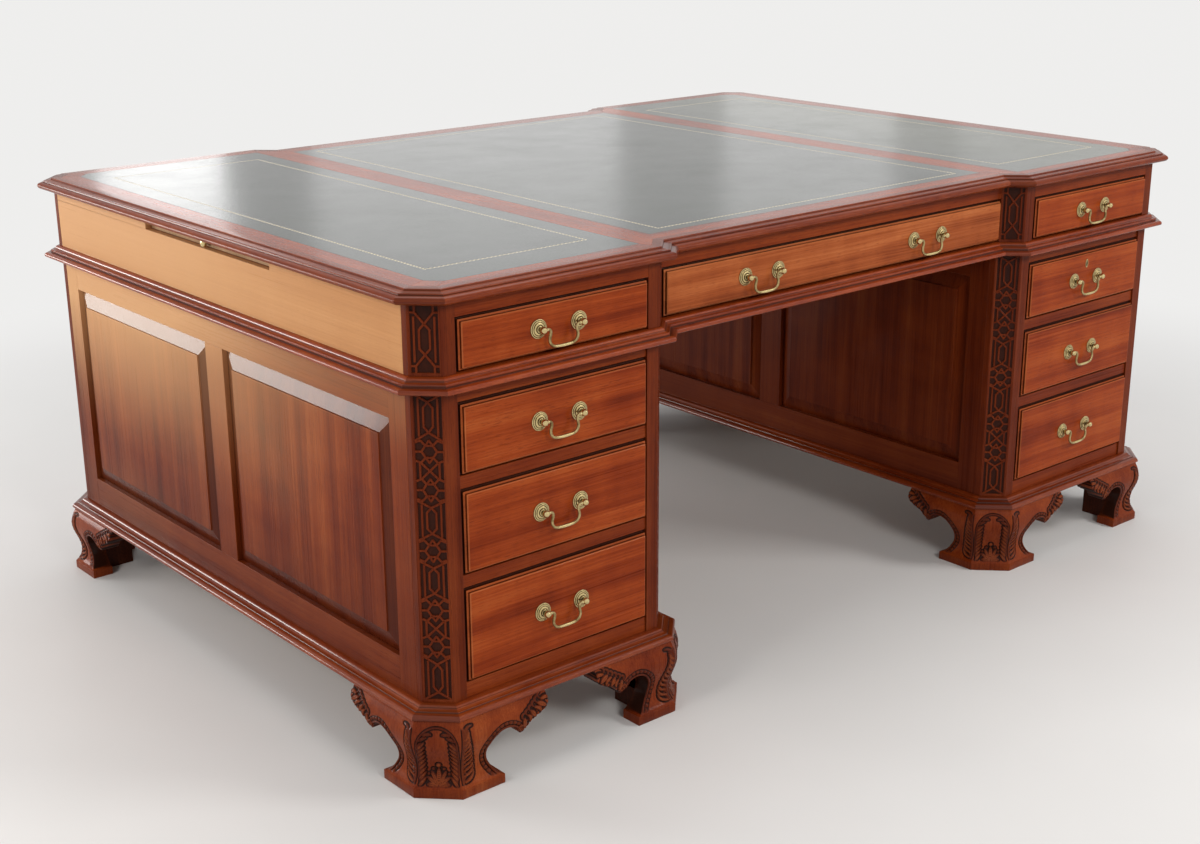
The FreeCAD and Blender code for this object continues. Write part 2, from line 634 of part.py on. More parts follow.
def make_rails():
    """Rails across the front and back, and at each level the runners, guides and kickers of the drawers."""
    face = (minus(FACE_Y) + " + rail_setback", minus(FACE_Y) + " + drawer_rail_depth")
    spans = [(DRAWER_TOPS[0], WAIST_Z), (PEDESTAL_Z, DRAWER_BOTTOMS[2])]
    spans += [(DRAWER_TOPS[i + 1], DRAWER_BOTTOMS[i]) for i in (0, 1)]
    rails = [board("drawer_rail_%d" % i, PEDESTAL_OPENING, face, z) for i, z in enumerate(spans)]
    rear = [mirrored(rail, "y") for rail in rails[:2]]
    wall = SIDE_X[1]
    run_x = (wall, wall + " + runner_width")
    run_y = (face[1], "-partition_thickness / 2")
    levels = [(DRAWER_TOPS[0], WAIST_Z + " - dust_board_thickness"),
              (PEDESTAL_Z + " + dust_board_thickness", DRAWER_BOTTOMS[2])] + spans[2:]
    bars = [board("runner_%d" % i, run_x, run_y, z) for i, z in enumerate(levels)]
    for i, low in enumerate(DRAWER_BOTTOMS):
        bars.append(board("guide_%d" % i, (wall, PEDESTAL_OPENING[0]), run_y,
                          (low, low + " + guide_height")))
    bars = with_mirror(bars, "x", minus(MIDDLE_X))
    node("pedestal_rails_and_runners", with_mirror(rails + rear + bars, "x"))

    inside = (wall, minus(KNEE_X) + " - end_thickness")
    depth = "(%s - drawer_rail_depth)" % FACE_Y
    lower = board("pedestal_bottom", inside, (minus(depth), depth),
                  (PEDESTAL_Z, PEDESTAL_Z + " + dust_board_thickness"))
    upper = board("pedestal_top", inside, (minus(depth), depth), (WAIST_Z + " - dust_board_thickness", WAIST_Z))
    across = board("pedestal_partition", inside, ("-partition_thickness / 2", "partition_thickness / 2"),
                   (PEDESTAL_Z + " + dust_board_thickness", WAIST_Z + " - dust_board_thickness"))
    node("pedestal_boards", with_mirror([lower, upper, across], "x"))


def make_base():
    """Base mouldings round each pedestal, and a bracket foot under each of its corners."""
    plan = pedestal_outline()
    ring = mitred_lengths(plan, BASE_SHARES, size("base_projection"), size("base_seat"), size(BASE_Z),
                          size("base_height"))
    node("base_mouldings", with_mirror([solids("base_lengths", ring)], "x"))

    side_corner, front_corner = plan[5], plan[6]
    projection, seat = size("foot_projection"), size("foot_seat")
    wing, height = size("wing_length"), size("foot_height")
    path = [side_corner + AXES["y"] * wing, side_corner, front_corner, front_corner + AXES["x"] * wing]
    side, cant, front = mitred_lengths(path, FOOT_SHARES, projection, seat, 0, height, closed=False)
    extra = size("overrun")
    silhouette = [(-projection, 0)] + scaled(WING_SHARES, wing, height) + [(-projection, height)]
    brackets = [cant]
    for stick, corner, along, out in ((side, side_corner, AXES["y"], AXES["x"]),
                                      (front, front_corner, AXES["x"], AXES["y"])):
        behind = corner + out * (seat + extra)
        outline = shaped_face(silhouette, lambda u, z: behind + along * u + UP * z)
        brackets.append(stick.common(outline.extrude(-out * (projection + seat + 2 * extra))).Solids[0])
    slope = seat * size(EIGHTH_TURN)
    block = size("block_size")
    a = FreeCAD.Vector(side_corner.x + seat, side_corner.y + slope, 0)
    b = FreeCAD.Vector(front_corner.x + slope, front_corner.y + seat, 0)
    inner = FreeCAD.Vector(a.x + block, b.y + block, 0)
    edge = [a, b, FreeCAD.Vector(inner.x, b.y, 0), inner, FreeCAD.Vector(a.x, inner.y, 0), a]
    glue_block = Part.Face(Part.makePolygon(edge)).extrude(UP * height)
    node("bracket_feet", around_pedestal([solids("bracket_foot", brackets + [glue_block])]))


# Drawers: a moulded front that stands proud, two sides, a back and a bottom

def drawer(name, x, z, face, length):
    """The pieces of a drawer for the opening x by z in a front plane at -face."""
    plane = minus(face) + " + front_sink"
    front = new_body(name + "_front")
    place(front, y=plane)
    layers = (("edge", "front_gap", "front_thickness"), ("step", "(front_gap + front_lip)", "front_sink + front_step"),
              ("field", "(front_gap + front_lip + front_ledge)", "front_sink + front_proud"))
    for layer, rim, rise in layers:
        outline = rectangle((x[0] + " + " + rim, x[1] + " - " + rim), (z[0] + " + " + rim, z[1] + " - " + rim))
        sketch = sketched(front, "%s_%s" % (name, layer), "XZ_Plane", [outline])
        field = padded(front, sketch, rise, inwards=layer == "edge")
    doc.recompute()
    faces = field.Shape.Faces
    foremost = min(range(len(faces)), key=lambda i: faces[i].CenterOfMass.y)
    edge = front.newObject("PartDesign::Chamfer", name + "_edge_moulding")
    edge.Base = (field, ["Face%d" % (foremost + 1)])
    edge.setExpression("Size", bound("front_chamfer"))

    back_of_front = plane + " + front_thickness"
    end = minus(face) + " + " + length
    left, right = x[0] + " + run_gap", x[1] + " - run_gap"
    side_z = (z[0] + " + run_gap", z[1] + " - side_drop")
    inner_x = (left + " + side_thickness", right + " - side_thickness")
    floor_z = z[0] + " + bottom_rise"
    return [front,
            board(name + "_left_side", (left, inner_x[0]), (back_of_front, end), side_z),
            board(name + "_right_side", (inner_x[1], right), (back_of_front, end), side_z),
            board(name + "_back", inner_x, (end + " - side_thickness", end), (floor_z, side_z[1])),
            board(name + "_bottom", inner_x, (back_of_front, end + " - side_thickness"),
                  (floor_z, floor_z + " + bottom_thickness"))]


# Swan-neck handles: a pair of turned rosettes with ball posts, and the bail that hangs in the balls

def flat_bore(name, radius, length):
    """A cutter for a hole in flats that just clears a pin of the radius, along Z."""
    bore = doc.addObject("Part::Prism", name)
    bore.Polygon = BORE_SIDES
    bore.setExpression("Circumradius", bound("(%s) / cos(180 deg / %d)" % (radius, BORE_SIDES)))
    bore.setExpression("Height", bound(length))
    return bore


def make_handle_pair():
    """Rosettes and posts of one handle, with the drawer's face at y = 0 and the bail's axis level with the origin."""
    rings = [("rosette_radius * %s" % r, "rosette_height * %s" % h) for r, h in ROSETTE_SHARES]
    rings += [("ball_radius * %s" % r, "ball_reach + ball_radius * %s" % h) for r, h in BALL_SHARES]
    post = turned("rosette", ROSETTE_SIDES, rings)
    bore = flat_bore("pin_hole", "wire_radius + pin_gap", "ball_radius + pin_depth + overrun")
    bore.Placement.Rotation = FreeCAD.Rotation(AXES["y"], 90)
    place(bore, x="-pin_depth - pin_gap", y="-ball_reach")
    bored = doc.addObject("Part::Cut", "rosette_bored")
    bored.Base = post
    bored.Tool = bore
    left = doc.addObject("Part::Compound", "left_rosette")
    left.Links = [bored]
    place(left, x="-handle_span / 2")
    return [left, mirrored(left, "x")]


def make_bail():
    """The bail: two pins on its axis that point outwards, shoulders, legs, and a grip between two bends."""
    frame = new_body("bail_frame")
    path = frame.newObject("Sketcher::SketchObject", "bail_path")
    path.AttachmentSupport = [(own_plane(frame, "XZ_Plane"), "")]
    path.MapMode = "FlatFace"
    leg = "leg_span / 2"
    chord = "bend_radius * %s" % BEND_CHORD_SHARE
    half = [("handle_span / 2 + pin_depth", "0"), (leg + " + shoulder_radius", "0"), (leg, "-shoulder_radius"),
            (leg, "-bail_drop + bend_radius"), (leg + " - " + chord, "-bail_drop + " + chord),
            (leg + " - bend_radius", "-bail_drop")]
    corners = half + [(minus(u), v) for u, v in reversed(half)]
    points = [FreeCAD.Vector(size(u), size(v), 0) for u, v in corners]
    runs = [path.addGeometry(Part.LineSegment(a, b)) for a, b in zip(points, points[1:])]
    tie_point(path, runs[0], 1, corners[0])
    for index, run in enumerate(runs):
        tie_point(path, run, 2, corners[index + 1])
        if index:
            path.addConstraint(Sketcher.Constraint("Coincident", runs[index - 1], 2, run, 1))
    section = doc.addObject("Part::RegularPolygon", "wire_section")
    section.Polygon = WIRE_SIDES
    section.setExpression("Circumradius", bound("wire_radius"))
    section.Placement.Rotation = FreeCAD.Rotation(AXES["y"], 90)
    place(section, x=half[0][0])
    doc.recompute()
    wire = doc.addObject("Part::Sweep", "bail_wire")
    wire.Sections = [section]
    wire.Spine = (path, ["Edge%d" % (run + 1) for run in runs])
    wire.Solid = True
    wire.Transition = "Right corner"
    return wire


def own_plane(body, role):
    """One of a body's own origin planes."""
    return next(feature for feature in body.Origin.OriginFeatures if feature.Role == role)


def tie_point(sketch, run, end, spot):
    """Ties the end of a run in a sketch to two formulas."""
    for kind, text in (("DistanceX", spot[0]), ("DistanceY", spot[1])):
        tie = sketch.addConstraint(Sketcher.Constraint(kind, -1, 1, run, end, size(text)))
        sketch.setExpression("Constraints[%d]" % tie, bound(text))


def make_drawers():
    """All drawers with their handles; a name, its pieces, its front plane, its handles and the middle of its front."""
    pair, bail = make_handle_pair(), make_bail()
    outer = drawer("outer_frieze_drawer", OUTER_OPENING, FRIEZE_OPENING_Z, FRONT_Y, "frieze_drawer_length")
    centre = drawer("centre_frieze_drawer", CENTRE_OPENING, FRIEZE_OPENING_Z, BREAK_Y, "frieze_drawer_length")
    outer_x = "((%s) + (%s)) / 2" % OUTER_OPENING
    frieze_z = "((%s) + (%s)) / 2" % FRIEZE_OPENING_Z
    made = [("left_frieze_drawer", outer, FRONT_Y, (outer_x,), frieze_z, 0),
            ("centre_frieze_drawer", centre, BREAK_Y, ("-centre_handle_spacing / 2", "centre_handle_spacing / 2"),
             frieze_z, 0),
            ("right_frieze_drawer", [mirrored(p, "x") for p in outer], FRONT_Y, (minus(outer_x),), frieze_z, 0)]
    made += [("rear_" + name, [mirrored(p, "y") for p in pieces], face, spots, z, 180)
             for name, pieces, face, spots, z, _ in made]
    middle_x = "((%s) + (%s)) / 2" % PEDESTAL_OPENING
    for level, low, high in zip(("top", "middle", "bottom"), DRAWER_BOTTOMS, DRAWER_TOPS):
        pieces = drawer(level + "_pedestal_drawer", PEDESTAL_OPENING, (low, high), FACE_Y, "pedestal_drawer_length")
        z = "((%s) + (%s)) / 2" % (low, high)
        made.append(("left_%s_drawer" % level, pieces, FACE_Y, (middle_x,), z, 0))
        made.append(("right_%s_drawer" % level, [mirrored(p, "x") for p in pieces], FACE_Y,
                     (minus(middle_x),), z, 0))
    for name, pieces, face, spots, z, turn in made:
        node(name, pieces)
        reach = "(%s + front_proud)" % face
        y = reach if turn else minus(reach)
        fittings = []
        for index, x in enumerate(spots):
            spot = dict(x=x, y=y, z=z)
            posts = doc.addObject("Part::Compound", "%s_posts_%d" % (name, index))
            posts.Links = pair
            posts.Placement.Rotation = FreeCAD.Rotation(UP, turn)
            fittings.append(place(posts, **spot))
            axis_y = "%s %s ball_reach" % (y, "+" if turn else "-")
            label = name.replace("drawer", "bail")
            if len(spots) > 1:
                label += ("_left", "_right")[index]
            node(label, [bail], turn, x=x, y=axis_y, z=z)
        if name == "right_top_drawer":
            fittings.append(keyhole_plate(spots[0], y, z))
        node(name.replace("drawer", "drawer_rosettes"), fittings)


def keyhole_plate(x, y, z):
    """The small keyhole plate above the handle: a rounded slip of brass with a slot through it."""
    body = new_body("escutcheon")
    place(body, x=x, y=y, z=z + " + escutcheon_rise")
    half = "escutcheon_width / 2"
    rise = "escutcheon_height / 2 - escutcheon_width / 2"
    bow = "escutcheon_width * %s" % ESCUTCHEON_BOW_SHARE
    rim = [(half, minus(rise), bow), (half, rise), (minus(half), rise, bow), (minus(half), minus(rise))]
    reach = "%s * %s" % (half, ESCUTCHEON_SLOT_SHARE)
    slot = rectangle((minus(reach), reach), (minus(rise), rise))
    padded(body, sketched(body, "escutcheon_rim", "XZ_Plane", [rim, slot]), "escutcheon_thickness")
    return body


# Writing slides and cupboard doors

def make_slides(knob):
    slide = board("writing_slide", (minus(SLIDE_X), minus(SLIDE_X) + " + slide_length"),
                  ("-slide_width / 2", "slide_width / 2"),
                  (SLIDE_Z + " + run_gap", TOP_Z + " - run_gap"))
    middle = "((%s) + (%s)) / 2" % (SLIDE_Z, TOP_Z)
    node("left_slide", [slide])
    node("right_slide", [mirrored(slide, "x")])
    node("left_slide_knob", [knob], -90, x=minus(SLIDE_X), z=middle)
    node("right_slide_knob", [knob], 90, x=SLIDE_X, z=middle)


def hinge_leaf(name, x, knuckles, pin):
    """A leaf of a butt hinge with its knuckles on the hinge's axis, and the pin if it carries one."""
    parts = [board(name + "_leaf", x, ("-leaf_width", "0"), ("0", "hinge_length"))]
    for index, (low, high) in enumerate(knuckles):
        parts.append(board("%s_tab_%d" % (name, index), x, ("0", "knuckle_radius"), (low, high)))
        barrel = doc.addObject("Part::Prism", "%s_knuckle_%d" % (name, index))
        barrel.Polygon = KNUCKLE_SIDES
        barrel.setExpression("Circumradius", bound("knuckle_radius"))
        barrel.setExpression("Height", bound("(%s) - (%s)" % (high, low)))
        parts.append(place(barrel, y="knuckle_radius", z=low))
    joined = doc.addObject("Part::MultiFuse", name + "_joined")
    joined.Shapes = parts
    joined.Refine = True
    if pin:
        spindle = doc.addObject("Part::Cylinder", name + "_pin")
        spindle.setExpression("Radius", bound("hinge_pin_radius"))
        spindle.setExpression("Height", bound("hinge_length"))
        done = doc.addObject("Part::MultiFuse", name)
        done.Shapes = [joined, place(spindle, y="knuckle_radius")]
        return done
    bore = flat_bore(name + "_bore", "hinge_pin_radius + pin_gap", "hinge_length")
    done = doc.addObject("Part::Cut", name)
    done.Base = joined
    done.Tool = place(bore, y="knuckle_radius")
    return done


def make_doors(knob):
    """Panelled doors set flush in the back of the pedestals, hung on butt hinges at their outer edge."""
    x = (PEDESTAL_OPENING[0] + " + hinge_gap", PEDESTAL_OPENING[1] + " - front_gap")
    z = (DRAWER_BOTTOMS[2] + " + front_gap", DRAWER_TOPS[0] + " - front_gap")
    y = (FACE_Y + " - door_thickness", FACE_Y)
    inner_x = (x[0] + " + door_stile", x[1] + " - door_stile")
    inner_z = (z[0] + " + door_rail", z[1] + " - door_rail")
    width = "(%s) - (%s)" % (inner_x[1], inner_x[0])
    height = "(%s) - (%s)" % (inner_z[1], inner_z[0])
    panel = raised_panel("door_panel", width, height, 180, x=inner_x[1],
                         y=FACE_Y + " - bevel_rise - field_step + panel_proud", z=inner_z[0])
    members = [board("door_hinge_stile", (x[0], inner_x[0]), y, z),
               board("door_lock_stile", (inner_x[1], x[1]), y, z),
               board("door_lower_rail", inner_x, y, (z[0], inner_z[0])),
               board("door_upper_rail", inner_x, y, (inner_z[1], z[1]))]
    door = [grooved(member, panel) for member in members] + [panel]
    third = "hinge_length / 3"
    hinge_x = "%s + hinge_gap / 2" % PEDESTAL_OPENING[0]
    gap = "knuckle_gap / 2"
    fixed = hinge_leaf("fixed_hinge", (minus("hinge_gap / 2"), minus("hinge_gap / 2") + " + leaf_thickness"),
                       (("0", third + " - " + gap), ("2 * %s + %s" % (third, gap), "hinge_length")), True)
    loose = hinge_leaf("door_hinge", ("hinge_gap / 2 - leaf_thickness", "hinge_gap / 2"),
                       ((third + " + " + gap, "2 * %s - %s" % (third, gap)),), False)
    heights = (z[0] + " + hinge_inset", z[1] + " - hinge_inset - hinge_length")
    fixed_pair, loose_pair = [], []
    for index, low in enumerate(heights):
        for source, group in ((fixed, fixed_pair), (loose, loose_pair)):
            hung = doc.addObject("Part::Compound", "%s_%d" % (source.Name, index))
            hung.Links = [source]
            group.append(place(hung, x=hinge_x, y=FACE_Y, z=low))
    pull = doc.addObject("Part::Compound", "door_pull")
    pull.Links = [knob]
    pull.Placement.Rotation = FreeCAD.Rotation(UP, 180)
    place(pull, x=inner_x[1] + " + door_stile / 2", y=FACE_Y, z="((%s) + (%s)) / 2" % z)
    node("left_door", door)
    node("right_door", [mirrored(p, "x") for p in door])
    node("left_door_fittings", loose_pair + [pull])
    node("right_door_fittings", [mirrored(p, "x") for p in loose_pair + [pull]])
    node("door_hinges", with_mirror(fixed_pair, "x"))


def make_knob():
    """A turned brass knob with its seat at y = 0."""
    return turned("knob", KNOB_SIDES, [("knob_radius * %s" % r, "knob_length * %s" % h) for r, h in KNOB_SHARES])


make_top()
make_posts()
make_frieze()
make_sides()
make_rails()
make_base()
make_drawers()
turned_knob = make_knob()
make_slides(turned_knob)
make_doors(turned_knob)
doc.recompute()

for thing in doc.Objects:
    if "Invalid" in thing.State or "Error" in thing.State:
        raise RuntimeError("%s failed: %s" % (thing.Name, thing.State))
for part in NODES:
    if part.Shape.isNull() or not part.Shape.isValid() or not part.Shape.Solids:
        raise RuntimeError("%s has no sound solid" % part.Label)

os.makedirs("parts", exist_ok=True)
for part in NODES:
    part.Shape.exportStep("parts/%s.step" % part.Label)
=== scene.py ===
import math
from functools import partialmethod

import bpy
import numpy as np
from mathutils import Matrix


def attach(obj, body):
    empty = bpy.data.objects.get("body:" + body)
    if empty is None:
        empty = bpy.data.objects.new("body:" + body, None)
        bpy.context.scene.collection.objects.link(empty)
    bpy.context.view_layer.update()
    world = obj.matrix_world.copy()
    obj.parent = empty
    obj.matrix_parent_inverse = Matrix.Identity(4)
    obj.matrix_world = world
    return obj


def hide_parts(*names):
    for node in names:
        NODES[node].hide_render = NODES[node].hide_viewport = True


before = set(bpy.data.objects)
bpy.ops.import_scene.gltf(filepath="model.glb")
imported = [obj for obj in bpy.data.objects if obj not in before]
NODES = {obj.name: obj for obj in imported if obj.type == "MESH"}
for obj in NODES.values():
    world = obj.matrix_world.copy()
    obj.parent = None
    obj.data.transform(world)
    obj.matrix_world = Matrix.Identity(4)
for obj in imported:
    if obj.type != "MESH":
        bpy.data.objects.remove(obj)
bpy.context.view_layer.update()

# Planes and levels of the desk, in millimetres, as in the part's source
MM = 0.001
END_X, FRONT_Y, BREAK_Y, KNEE_X = 912.5, 620.5, 587.0, 430.5
CANT, BREAK, OUTER_X, FACE_Y, MIDDLE_X = 35.0, 33.5, 910.0, 618.0, 670.25
PLINTH_TOP, FOOT_TOP, PEDESTAL_Z = 15.6, 127.5, 145.5
WAIST_Z, FRIEZE_Z, TOP_Z, DESK_Z = 637.0, 659.0, 767.0, 787.0
SLIDE_Z, SLIDE_SETBACK, BED_Z = 747.0, 11.0, DESK_Z - 1.6
# How far a mitre at a cant runs back for each millimetre out, and the part of a slanting line along each axis
MITRE, DIAGONAL = math.tan(math.pi / 8), math.sqrt(0.5)


# Meshes: closed shells worked out as arrays

def grid_faces(rows, columns, wrap=False):
    """Quads of a grid of points, row by row; wrap joins the last column to the first."""
    r, c = np.meshgrid(np.arange(rows - 1), np.arange(columns if wrap else columns - 1), indexing="ij")
    after = (c + 1) % columns
    return np.stack([r * columns + c, (r + 1) * columns + c, (r + 1) * columns + after, r * columns + after],
                    -1).reshape(-1, 4)


def through(points, steps):
    """A smooth curve through points: cubics whose slope at a point is half the chord of its neighbours."""
    p = np.asarray(points, float)
    p = np.vstack([2 * p[0] - p[1], p, 2 * p[-1] - p[-2]])
    spot = np.linspace(0, len(p) - 3, steps)
    i = np.minimum(spot.astype(int), len(p) - 4)
    t = (spot - i)[:, None]
    a, b, c, d = p[i], p[i + 1], p[i + 2], p[i + 3]
    return b + t * ((c - a) / 2 + t * (a - 2.5 * b + 2 * c - d / 2 + t * (1.5 * (b - c) + (d - a) / 2)))


def unit(ways):
    """The directions with length 1."""
    return ways / np.linalg.norm(ways, axis=-1, keepdims=True)


def run_along(line):
    """The length along a line of points at each of them."""
    return np.append(0, np.cumsum(np.linalg.norm(np.diff(line, axis=0), axis=1)))


def evened(curve, steps):
    """The curve's points spaced evenly along its length."""
    run = run_along(curve)
    at = np.linspace(0, run[-1], steps)
    return np.stack([np.interp(at, run, column) for column in np.transpose(curve)], 1)


def section(*stops, steps=7):
    """A moulding's outline: straight to a stop of two numbers, in a quadratic bend to one of four.

    The last two of the four are the bend's control point.
    """
    line = [np.array(stops[0], float)[None]]
    t = np.linspace(0, 1, steps)[1:, None]
    for stop in stops[1:]:
        start, end = line[-1][-1], np.array(stop[:2], float)
        if len(stop) == 2:
            line.append(end[None])
        else:
            line.append((1 - t) ** 2 * start + 2 * t * (1 - t) * np.array(stop[2:]) + t ** 2 * end)
    return np.vstack(line)


def circle(sides):
    """Cosines and sines at even turns, as two columns."""
    turn = np.linspace(0, 2 * math.pi, sides, endpoint=False)
    return np.cos(turn)[:, None], np.sin(turn)[:, None]


def linked(name, data):
    """A new object with the data, in the scene."""
    made = bpy.data.objects.new(name, data)
    bpy.context.scene.collection.objects.link(made)
    return made


# Eased arris of a slab, sides of turnings and of wires, and the step in grain between two lengths of moulding
SLAB_EASE, ROUND_SIDES, WIRE_SIDES, GRAIN_APART = 0.35, 32, 14, 700.0
# Fold that makes a quirk, reach below which a length of moulding is short, and the painted shades that the
# materials read
QUIRK_FOLD, SHORT_REACH = -0.25, 80.0
QUIRK_SHADE, SHORT_SHADE, LONG_SHADE, USUAL_SHADE = 0.0, 0.24, 0.6, 0.5


class Shape:
    """The closed shells of one piece, in millimetres.

    Each point has a place along and across the grain, and a shade that its material reads.
    """

    def __init__(self):
        self.points, self.faces, self.slots, self.grain, self.shade, self.count = [], [], [], [], [], 0

    def add(self, points, quads, caps, slot=0, grain=None, shade=None):
        """Adds a shell, faces outwards: the triple products of its fans add up to a positive volume."""
        quads = np.asarray(quads, int).reshape(-1, 4)
        caps = [np.asarray(cap, int) for cap in caps]
        fans = [quads[:, [0, 1, 2]], quads[:, [0, 2, 3]]]
        fans += [np.stack([np.full(len(cap) - 2, cap[0]), cap[1:-1], cap[2:]], 1) for cap in caps]
        a, b, c = (points - points.mean(0))[np.vstack(fans)].transpose(1, 0, 2)
        turn = 1 if np.einsum("ij,ij->", a, np.cross(b, c)) > 0 else -1
        faces = (quads[:, ::turn] + self.count).tolist()
        faces += [(cap[::turn] + self.count).tolist() for cap in caps]
        self.points.append(points)
        self.faces += faces
        self.slots += [slot] * len(faces)
        self.grain.append(np.zeros((len(points), 2)) if grain is None else grain)
        self.shade.append(np.full(len(points), USUAL_SHADE) if shade is None else shade)
        self.count += len(points)

    def tube(self, rings, slot=0, grain=None, shade=None):
        """A skin over closed rings of points, with its two ends capped."""
        rows, columns = rings.shape[:2]
        first = np.arange(columns)
        caps = [first, first + (rows - 1) * columns]
        self.add(rings.reshape(-1, 3), grid_faces(rows, columns, True), caps, slot, grain, shade)

    def slab(self, plan, high, along=(1, 0)):
        """A board of the top in the second material, with the plan's outline and an eased upper arris.

        Its grain runs along the given direction.
        """
        plan = np.asarray(plan, float)
        inner = plan + unit(plan.mean(0) - plan) * SLAB_EASE
        rings = np.stack([np.column_stack([p, np.full(len(p), z)])
                          for p, z in ((plan, TOP_Z), (plan, high - SLAB_EASE), (inner, high))])
        flat = rings.reshape(-1, 3)[:, :2]
        self.tube(rings, 1, np.stack([flat @ along, flat @ (-along[1], along[0])], 1))

    def lengths(self, corners, outline, closed=True):
        """Straight lengths of a moulding along the corners, anticlockwise, mitred where two lengths meet.

        The short lengths on cants get painted shade, and the quirks the darkest painted shade. A point of the
        outline at o, z lies at corner + o * (n1 + n2) / (1 + n1 . n2), with n1, n2 the sides' normals.
        """
        corners = np.asarray(corners, float)
        ahead = np.roll(corners, -1, 0) - corners
        reach = np.linalg.norm(ahead, axis=1)
        ahead /= reach[:, None]
        out = np.stack([ahead[:, 1], -ahead[:, 0]], 1)
        count = len(corners) if closed else len(corners) - 1
        across = run_along(outline)
        edge = np.roll(outline, -1, 0) - outline
        past = np.roll(edge, 1, 0)
        fold = np.arctan2(past[:, 0] * edge[:, 1] - past[:, 1] * edge[:, 0], (past * edge).sum(1))
        for i in range(count):
            here, there = corners[i], corners[(i + 1) % len(corners)]
            before = out[i - 1] if closed or i else out[i]
            after = out[(i + 1) % len(out)] if closed or i + 1 < count else out[i]
            rings = []
            for corner, other in ((here, before), (there, after)):
                mitre = (other + out[i]) / (1 + other @ out[i])
                rings.append(np.column_stack([corner + outline[:, :1] * mitre, outline[:, 1]]))
            rings = np.stack(rings)
            along = (rings[:, :, :2] - here) @ ahead[i] + GRAIN_APART * i
            grain = np.stack([along, np.broadcast_to(across, along.shape)], -1).reshape(-1, 2)
            plain = LONG_SHADE if reach[i] > SHORT_REACH else SHORT_SHADE
            shade = np.where(fold < QUIRK_FOLD, QUIRK_SHADE, plain)
            self.tube(rings, 0, grain, np.tile(shade, 2))

    def round(self, outline, spot, axis):
        """A turning: rows of radius, reach and shade, swept round an axis that starts at the spot.

        Each ring is spot + reach * axis + radius * (cos * side + sin * third); the directions are square.
        """
        axis = np.array(axis, float)
        side = unit(np.cross(axis, (0.3, 0.5, 0.8)))
        cosine, sine = circle(ROUND_SIDES)
        rim = cosine * side + sine * np.cross(axis, side)
        rings = np.array(spot) + outline[:, 0, None, None] * rim + outline[:, 1, None, None] * axis
        self.tube(rings, shade=np.repeat(outline[:, 2], ROUND_SIDES))

    def wire(self, path, radii, level, shade):
        """A round wire along a path square to level: each ring is radius * (cos * normal + sin * level)."""
        normal = np.cross(level, unit(np.gradient(path, axis=0)))
        cosine, sine = circle(WIRE_SIDES)
        rings = path[:, None] + radii[:, None, None] * (cosine * normal[:, None] + sine * np.array(level))
        self.tube(rings, shade=np.repeat(shade, WIRE_SIDES))

    def piece(self, name, body, materials, replaces=(), smooth=38):
        """The shells as one object that rides on a body and stands for the named nodes."""
        mesh = bpy.data.meshes.new(name)
        mesh.from_pydata((np.vstack(self.points) * MM).tolist(), [], self.faces)
        for material in materials:
            mesh.materials.append(material)
        mesh.polygons.foreach_set("material_index", self.slots)
        corner = np.zeros(len(mesh.loops), np.int32)
        mesh.loops.foreach_get("vertex_index", corner)
        mesh.uv_layers.new(name="grain").data.foreach_set("uv", (np.vstack(self.grain) * MM)[corner].ravel())
        shade = mesh.attributes.new("shade", "FLOAT", "POINT")
        shade.data.foreach_set("value", np.concatenate(self.shade).astype(np.float32))
        mesh.shade_smooth()
        mesh.set_sharp_from_angle(angle=math.radians(smooth))
        made = linked(name, mesh)
        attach(made, body)
        if replaces:
            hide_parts(*replaces)


# Materials: a socket with operators, and one method that makes every node

class Socket:
    """A socket of a node; sums and products of it add Math nodes to its material."""

    def __init__(self, net, socket):
        self.net, self.socket = net, socket

    def maths(self, operation, *others):
        """A Math node of the operation on this socket and the others."""
        return self.net.node("Math", {"operation": operation}, dict(enumerate((self, *others))))

    __add__ = __radd__ = partialmethod(maths, "ADD")
    __mul__ = __rmul__ = partialmethod(maths, "MULTIPLY")
    __sub__ = partialmethod(maths, "SUBTRACT")
    least, most = partialmethod(maths, "MINIMUM"), partialmethod(maths, "MAXIMUM")
    size, sine = partialmethod(maths, "ABSOLUTE"), partialmethod(maths, "SINE")
    root = partialmethod(maths, "SQRT")

    def __rsub__(self, other):
        return self.net.node("Math", {"operation": "SUBTRACT"}, {0: other, 1: self})

    def rise(self, low, high):
        """0 below low, 1 above high and a smooth step between; low may be the larger."""
        return self.net.node("MapRange", {"interpolation_type": "SMOOTHSTEP"},
                             {"Value": self, "From Min": low, "From Max": high})

    def band(self, start, low, high, end):
        """1 from low to high, and smoothly down to 0 at start and end."""
        return self.rise(start, low) * self.rise(end, high)

    def above(self, plane, blur=0.0002):
        """0 below a plane and 1 above it, with a soft edge."""
        return self.rise(plane - blur, plane + blur)

    def under(self, plane, blur=0.0002):
        """1 below a plane and 0 above it, with a soft edge."""
        return self.rise(plane + blur, plane - blur)


